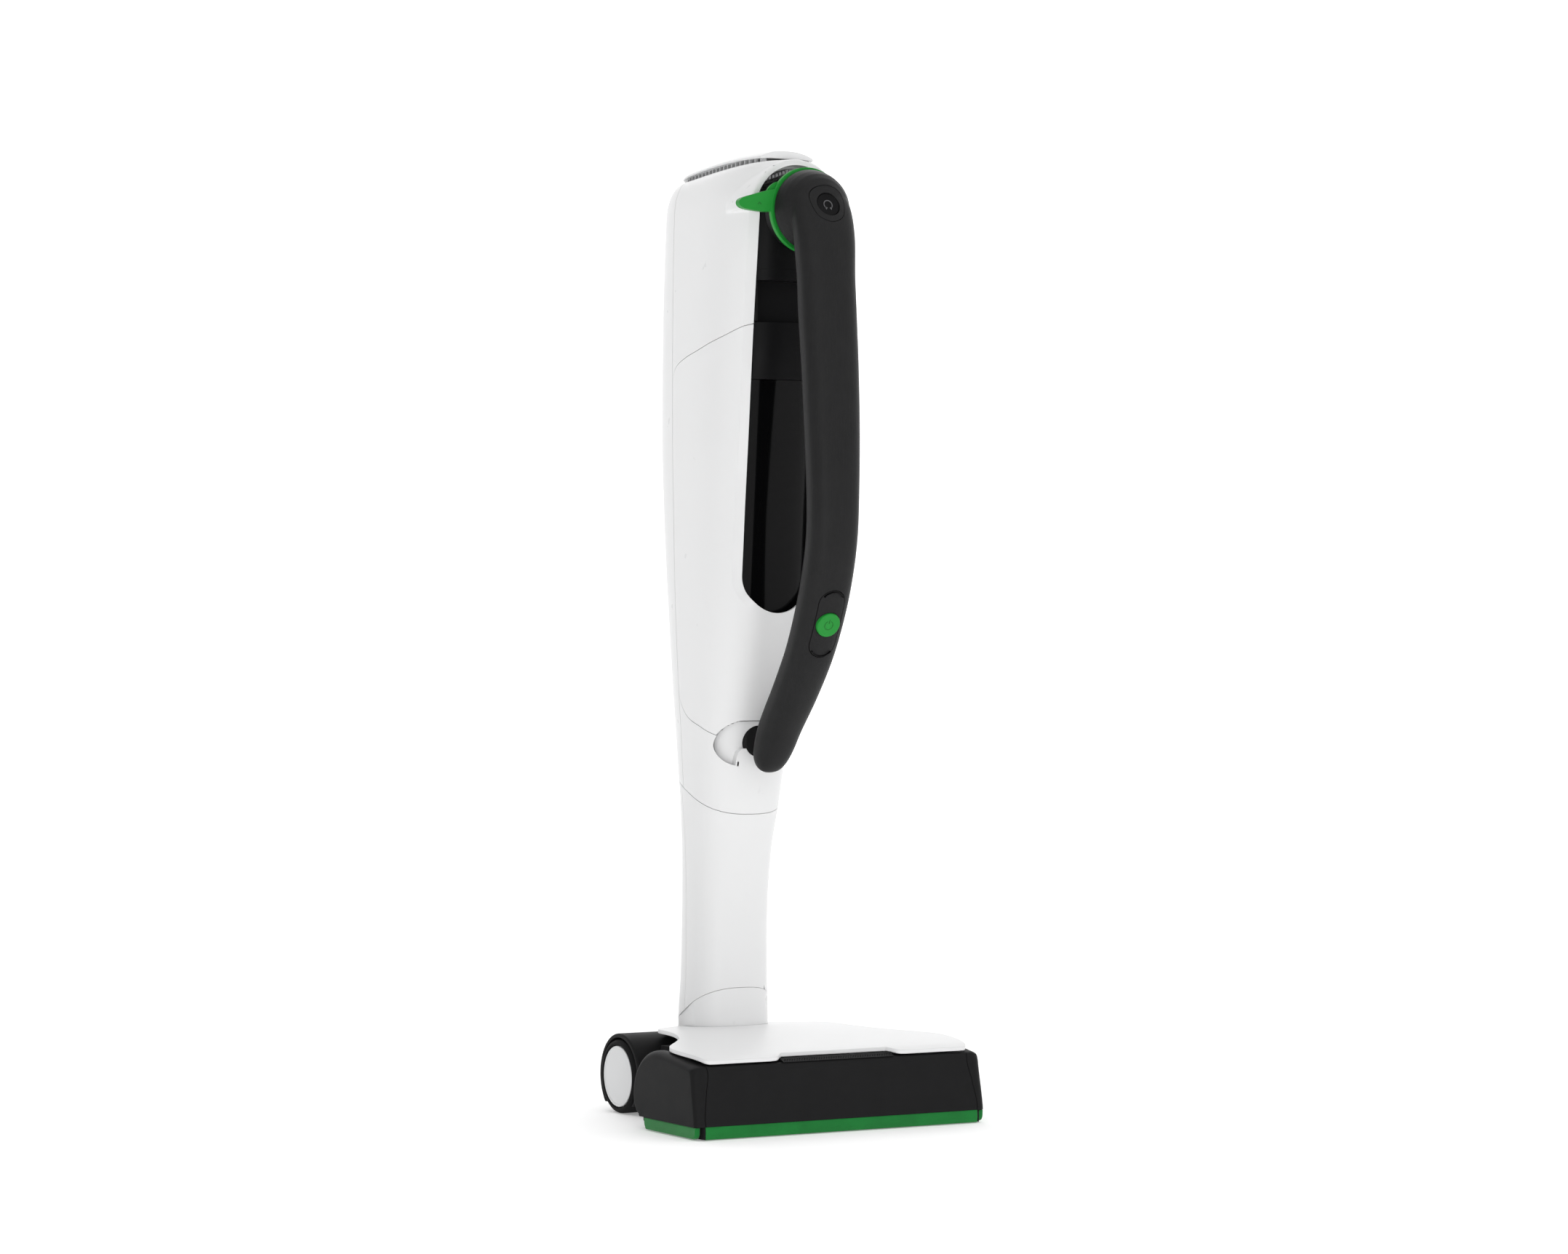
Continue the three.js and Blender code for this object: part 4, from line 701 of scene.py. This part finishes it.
chev = [plate([(-1.9 + a, 0.2), (-1.5 + a, -0.5), (0 + a, 1.0), (1.5 + a, -0.5), (1.9 + a, 0.2), (0 + a, 2.0)], 0, 0.35, (np.array([[1, 0, 0], [0, 0, 1], [0, -1, 0]]), np.array([-48.0, -156.5, 784.2]))) for a in (0,)]
done(join("tmp", chev), "v_lever_mark", "green_dark", "lever")

# ------------------------------------------------------------------ floor head
SF = -218.8
def fy(z): return SF + 11.2 * sm(-10, 74, z)
def cap_side(s):
    """side cap: rounded end body wrapping the front corner"""
    prof = [(fy(z), z) for z in (11, 20, 30, 40, 48, 54)] + [(fy(58) + .5, 57.6), (-206.8, 59.6), (-203.4, 60.6), (-198, 61.4), (-188, 63.0), (-176, 64.8), (-160, 66.6), (-146, 67.8), (-136, 68.0), (-128, 67.0), (-121, 64.6), (-114.5, 60.6),
            (-108.5, 55), (-103.6, 48), (-100.4, 40), (-99.0, 31), (-99.8, 23), (-102.6, 16.5), (-106.4, 12.6), (-110, 11)]
    prof = spline(prof, 3)
    prof = np.vstack([prof, [[-150, 11], [-190, 11]]])
    rings = []
    R, x0, cy, cz = 9.0, 124.0, -156.0, 36.0
    steps = [(x0, 0.0)] + [(131.4 + R * math.sin(t), 6.0 * (1 - math.cos(t))) for t in np.linspace(0, pi / 2, 14)]
    for x, ins in steps:
        ring_ = []
        for y, z in prof:
            xx = x + 0.6 * (1 - sm(8, 60, z)) * sm(125, 138, x)
            yy = cy + (y - cy) * (1 - ins / 60.0)
            zz = z if z <= 11.01 else cz + (z - cz) * (1 - ins / 32.0) if z > cz else z + (cz - z) * ins / 60.0
            ring_.append((s * xx, yy, zz))
        rings.append(ring_)
    return loft(rings)


def wave(z): return 0.9 * math.sin((z - 11) / 51 * 2 * pi * 1.02) + 0.35 * math.sin((z - 11) / 51 * 4 * pi + .6)
def wave_cut(s, side_out, d):
    zs = np.linspace(4, 76, 60)
    near = [(s * (126.9 + 5.0 * (1 - sm(8, 66, z)) + wave(z) + d), float(z)) for z in zs]
    far_x = s * (150 if side_out else 60)
    return prism("y", near + [(far_x, 76), (far_x, 4)], -230, -60)


cov_half = spline([(0.0, -199.8), (46, -199.8), (51.6, -200.2), (58.6, -206.6), (64, -208.0), (70, -208.2), (100, -208.2), (121, -208.2), (125.6, -207.0), (128.4, -203.6), (130.4, -196), (133.2, -178), (133.6, -164), (131.6, -151.5), (124.6, -140), (112, -125),
                   (99.5, -108), (92.4, -92), (87.4, -76), (84.8, -60), (82.8, -45), (79.0, -31), (73.4, -21.4), (66, -13.6), (55, -6.2), (46, -1.0), (40.6, 1.2)], 6)
cov_half = [(float(x), float(y)) for x, y in cov_half]
inner_edge = [(38.2, 1.8), (38.2, -6)]
covo = cov_half + inner_edge
covo = covo + [(-x, y) for x, y in covo[::-1][:-1]]
covo = [(x, y) for x, y in covo]
DK = spline([(-218, 62.4), (-212, 64.0), (-207.6, 65.4), (-203, 66.8), (-199, 67.8), (-184, 69.6), (-150, 72.0), (-110, 74.2), (-66, 75.6), (-36, 75.2), (-16, 74.2), (14, 73.4), (40, 73.0)], 10)
def deck(y):
    return float(np.interp(y, DK[:, 0], DK[:, 1])) - 0.15
def under(d, lo=20, y0=-240, y1=40):
    ys = np.linspace(y1, y0, 90)
    return prism("x", [(float(y), deck(y) - d) for y in ys] + [(y0, lo), (y1, lo)], -160, 160)


cv = prism("z", covo, 50, 90)
cap(cv, under(0))
lowc = cap(under(3.2), prism("z", covo, 45, 95))
# the lower copy is dropped unused; the underside, the arch drum and the body are cut out of the cover
drop(lowc)
sub(cv, under(3.2), round_cyl("x", 41.5, -38.1, 38.1, -1, AXZ, 0.1, 96), loft([ring(z, -0.55, 160) for z in (50, 78, 100, 120)]))
done(cv, "v_top_cover", "white_head", "floor_head", ["top_cover"], angle=40)
cover_zone = sub(prism("z", [(x * 1.003, -100 + (y + 100) * 1.004) for x, y in covo], 50, 95), under(3.6))
for s, side in ((-1, "left"), (1, "right")):
    c = cap_side(s)
    sub(c, wave_cut(s, False, 0.28))
    sub(c, box(*((118, 134.6) if s > 0 else (-134.6, -118)), -209, -112, 5, 52))
    done(c, f"v_side_cap_{side}", "black", "floor_head", [f"side_cap_{side}"])
drop(cover_zone)
fp = prism("x", [(fy(z), z) for z in np.linspace(11.4, 55, 20)] + [(fy(58) + .4, 57.6), (-207.4, 59.6), (-205.6, 60.4), (-196.4, 60.4), (-196.4, 57.4), (-207.4, 56.2), (fy(50) + 3, 48), (fy(11.4) + 3, 11.4)], -134, 134)
sub(fp, wave_cut(1, True, -0.28), wave_cut(-1, True, -0.28))
done(fp, "v_front_plate", "black", "floor_head", ["front_plate"])
ps = prism("x", [(-208.0, 59.9), (-201.0, 63.1), (-201.3, 63.8), (-208.3, 60.6)], -54.0, 54.0)
ta = math.atan2(3.2, 7.0)
dots = []
for k in range(88):
    row = k % 2
    t_ = 2.0 + 1.9 * row
    cy_, cz_ = -208.15 + t_ * math.cos(ta), 60.25 + t_ * math.sin(ta)
    x_ = -51.6 + (k // 2) * 2.37 + 1.18 * row
    rr = [[(x_ + 0.62 * math.cos(t), cy_ + 0.62 * math.sin(t) * math.cos(ta) - h * math.sin(ta), cz_ + 0.62 * math.sin(t) * math.sin(ta) + h * math.cos(ta)) for t in np.linspace(0, 2 * pi, 11)[:-1]] for h in (-0.1, 0.9)]
    dots.append(loft(rr))
sub(ps, join("tmp", dots))
done(ps, "v_perforated_strip", "channel", "floor_head", ["perforated_strip"])

# felt strips and corner skids
ff = prism("x", [(fy(11) + .7, 11.2), (fy(11) + .3, 8), (fy(11) + .2, 4.6), (fy(11) + .5, 1.6), (fy(11) + 1.2, 0.6), (fy(11) + 5.4, 0.6), (fy(11) + 5.4, 11.1)], -132.4, 132.4)
done(ff, "v_felt_front", "felt", "floor_head", ["felt_front"])
for s, side in ((-1, "left"), (1, "right")):
    a, b = (135.6, 140.4) if s > 0 else (-140.4, -135.6)
    fe = prism("x", [(-213.4, 10.8), (-213.0, 5.0), (-211.6, 2.2), (-209.0, 0.9), (-124, 0.9), (-121.6, 5), (-121, 10.7)], a, b)
    md = fe.modifiers.new("b", "BEVEL"); md.width = 0.0011; md.segments = 3; md.limit_method = "ANGLE"; bake(fe)
    done(fe, f"v_felt_{side}", "felt", "floor_head", [f"felt_{side}"])
    sk = prism("z", [(s * x, y) for x, y in ((132.7, -216.8), (134.2, -216.4), (134.9, -212.5), (134.9, -202.1), (132.7, -202.1))], 0.95, 10.65)
    done(sk, f"v_corner_skid_{side}", "rubber", "floor_head", [f"corner_skid_{side}"])

# wheel arches, wheels
for s, side in ((-1, "left"), (1, "right")):
    prof = [(1e-3, 38)] + [(36.4, 38), (37.4, 39)] + [(37.4, 99.8)] + [(37.4 - 1.6 * (1 - math.cos(t)), 99.8 + 1.6 * math.sin(t)) for t in np.linspace(0, pi / 2, 8)] + [(1e-3, 101.4)]
    ar = lathe("x", [(r, s * h) for r, h in prof], 0, AXZ, 160)
    cap(ar, prism("x", [(-60, 8), (28, 8), (35, 21), (38, 26), (39, 90), (-60, 90)], -110, 110))
    w0, w1 = (79.4, 110) if s > 0 else (-110, -79.4)
    sub(ar, round_cyl("x", 33.9, w0, w1, 0, AXZ, 0.1, 128), round_cyl("x", 6.25, -60, 60, 0, AXZ, 0.1, 48), box(w0, w1, -70, 70, -5, 6),
        box(min(s * 44, s * 73), max(s * 44, s * 73), -24, 24, 5, 24))
    done(ar, f"v_wheel_arch_{side}", "black", "floor_head", [f"wheel_arch_{side}"])
    ty = tube_lathe("x", [(27.0, s * 83.2), (30.0, s * 83.2), (31.4, s * 83.8), (32.1, s * 85.2), (32.3, s * 87), (32.3, s * 98.8), (32.1, s * 100.6), (31.4, s * 102.1), (30.2, s * 103.1), (28.8, s * 103.5), (28.0, s * 103.4), (27.5, s * 102.6), (27.0, s * 101.6)], 0, AXZ, 160)
    done(ty, f"v_wheel_tyre_{side}", "rubber", f"wheel_{side}", [f"wheel_tyre_{side}"])
    hp = [(4.25, 82), (9, 82), (9, 88), (26.7, 88), (26.8, 102.0), (26.3, 102.9), (25.6, 103.2), (24.6, 103.1), (24.2, 102.7), (23.8, 102.75), (20, 103.2), (12, 103.7), (4, 103.95), (1e-3, 104)]
    hb = lathe("x", [(r, s * h) for r, h in [(1e-3, 96), (4.25, 96), (4.25, 82.001)] + hp[1:]], 0, AXZ, 160)
    done(hb, f"v_wheel_hub_{side}", "hub", f"wheel_{side}", [f"wheel_hub_{side}"])

# brush roller: core with rows of separate tufts
tufts = [round_cyl("x", 13, -112, 112, -168, 27, 0.8, 64), round_cyl("x", 5, -124.5, -112.01, -168, 27, 0.5, 32), round_cyl("x", 5, 112.01, 124.5, -168, 27, 0.5, 32)]
for k in range(4):
    for i in range(44):
        x = -106 + 212 * i / 43; a = k * pi / 2 + (x + 110) / 220 * pi * 1.1
        c, s_ = math.cos(a), math.sin(a)
        rings = []
        for r, w in ((12, 1.2), (14, 1.3), (20.6, 1.9), (20.9, 1.5)):
            o = np.array([x, -168 + r * c, 27 + r * s_])
            rings.append([o + np.array([1, 0, 0]) * w * math.cos(t) + np.array([0, -s_, c]) * w * math.sin(t) for t in np.linspace(0, 2 * pi, 9)[:-1]])
        tufts.append(loft(rings))
done(join("tmp", tufts), "v_brush_roller", "bristle", "brush", ["brush_roller"])

# the pieces that stay as made, with their finish
CADMAT = {r["node"]: r["material_slot"] for r in frame["record"]["subparts"]}
for n, o in frame["nodes"].items():
    o.data.materials.clear(); o.data.materials.append(M.get(CADMAT[n], M["grey"]))
drop(outer); drop(inner); drop(shell)

# ------------------------------------------------------------------ stage
W = bpy.data.worlds.new("studio"); bpy.context.scene.world = W; W.use_nodes = True
nt = W.node_tree; N, L = nt.nodes, nt.links
for x in list(N): N.remove(x)
wo = N.new("ShaderNodeOutputWorld"); bg = N.new("ShaderNodeBackground"); L.new(bg.outputs[0], wo.inputs[0])
tc = N.new("ShaderNodeTexCoord"); sp = N.new("ShaderNodeSeparateXYZ"); L.new(tc.outputs["Generated"], sp.inputs[0])
def ramp(sock, a, b, lo, hi):
    m = N.new("ShaderNodeMapRange"); m.interpolation_type = "SMOOTHSTEP"
    m.inputs[1].default_value, m.inputs[2].default_value, m.inputs[3].default_value, m.inputs[4].default_value = a, b, lo, hi
    L.new(sock, m.inputs[0]); return m.outputs[0]
rx = ramp(sp.outputs["X"], -1.0, 0.9, 0.27, 0.47)
ry = ramp(sp.outputs["Y"], -1.0, 0.7, 1.40, 0.90)
rz = ramp(sp.outputs["Z"], 0.0, 1.0, 0.92, 1.9)
mu = N.new("ShaderNodeMath"); mu.operation = "MULTIPLY"; L.new(rx, mu.inputs[0]); L.new(rz, mu.inputs[1])
m2_ = N.new("ShaderNodeMath"); m2_.operation = "MULTIPLY"; L.new(mu.outputs[0], m2_.inputs[0]); L.new(ry, m2_.inputs[1])
L.new(m2_.outputs[0], bg.inputs["Strength"]); bg.inputs["Color"].default_value = (1, 1, 1, 1)

fm = bpy.data.materials.new("studio_floor"); fm.use_nodes = True
fb = fm.node_tree.nodes["Principled BSDF"]; fb.inputs["Base Color"].default_value = (0.93, 0.93, 0.93, 1); fb.inputs["Roughness"].default_value = 0.9
fb.inputs["Specular IOR Level"].default_value = 0.1
fb.inputs["Emission Color"].default_value = (1, 1, 1, 1); 
fn, fl = fm.node_tree.nodes, fm.node_tree.links
fg = fn.new("ShaderNodeNewGeometry"); fd = fn.new("ShaderNodeVectorMath"); fd.operation = "LENGTH"; fl.new(fg.outputs["Position"], fd.inputs[0])
fr_ = fn.new("ShaderNodeMapRange"); fr_.interpolation_type = "SMOOTHSTEP"
for i_, v_ in ((1, 0.35), (2, 6.0), (3, 0.235), (4, 0.60)): fr_.inputs[i_].default_value = v_
fl.new(fd.outputs["Value"], fr_.inputs[0]); fl.new(fr_.outputs[0], fb.inputs["Emission Strength"])
a0 = math.radians(29.5)
prof = [(-14.0, 0.0)] + [(11.0 + 5.0 * math.sin(t), 5.0 * (1 - math.cos(t))) for t in np.linspace(0, pi / 2, 24)] + [(16.0, 27.0)]
verts, faces = [], []
for w in (-36.0, 36.0):
    for d, z in prof:
        verts.append((w * math.cos(a0) + d * math.sin(a0), -w * math.sin(a0) + d * math.cos(a0), z - 0.0002))
n_ = len(prof)
for i in range(n_ - 1):
    faces.append((i, n_ + i, n_ + i + 1, i + 1))
fme = bpy.data.meshes.new("studio_floor"); fme.from_pydata(verts, [], faces); fme.materials.append(fm); fme.shade_smooth()
fo = bpy.data.objects.new("studio_floor", fme); COLL.objects.link(fo)


def area(name, loc, target, size, power, size_y=None):
    l = bpy.data.lights.new(name, "AREA"); l.shape = "RECTANGLE"; l.size = size; l.size_y = size_y or size; l.energy = power
    o = bpy.data.objects.new(name, l); COLL.objects.link(o)
    o.location = loc
    o.rotation_mode = "QUATERNION"; o.rotation_quaternion = (Vector(target) - Vector(loc)).to_track_quat("-Z", "Y")
    return o


area("key", (-1.9, -3.2, 2.4), (0, 0, 0.4), 1.8, 11, 2.4)
area("low_front", (-1.0, -1.7, 0.35), (0, 0, 0.22), 0.7, 4.4, 0.5)
area("front", (-0.6, -4.2, 2.2), (0, 0, 0.4), 2.2, 4.5, 1.6)
area("back_floor", (0.8, 2.6, 3.0), (0.6, 1.0, 0), 3.0, 11, 3.0)
area("top", (0, 0, 3.4), (0, 0, 0), 2.4, 6)

cam = bpy.data.cameras.new("camera"); co = bpy.data.objects.new("camera", cam); COLL.objects.link(co)
R0, D0, H = -56.1, 3679.0, 410.9
f = Vector((math.sin(a0), math.cos(a0), 0)); r = Vector((math.cos(a0), -math.sin(a0), 0)); u = Vector((0, 0, 1))
loc = Vector((-(R0 * math.cos(a0) + D0 * math.sin(a0)), -(-R0 * math.sin(a0) + D0 * math.cos(a0)) + AY, H)) / 1000
co.matrix_world = Matrix(((r.x, u.x, -f.x, loc.x), (r.y, u.y, -f.y, loc.y), (r.z, u.z, -f.z, loc.z), (0, 0, 0, 1)))
cam.sensor_width = 36; cam.lens = 5700 * 36 / 2156; cam.shift_y = (885 - 862) / 2156; cam.clip_end = 120
bpy.context.scene.camera = co
bpy.context.scene.view_settings.view_transform = "Standard"
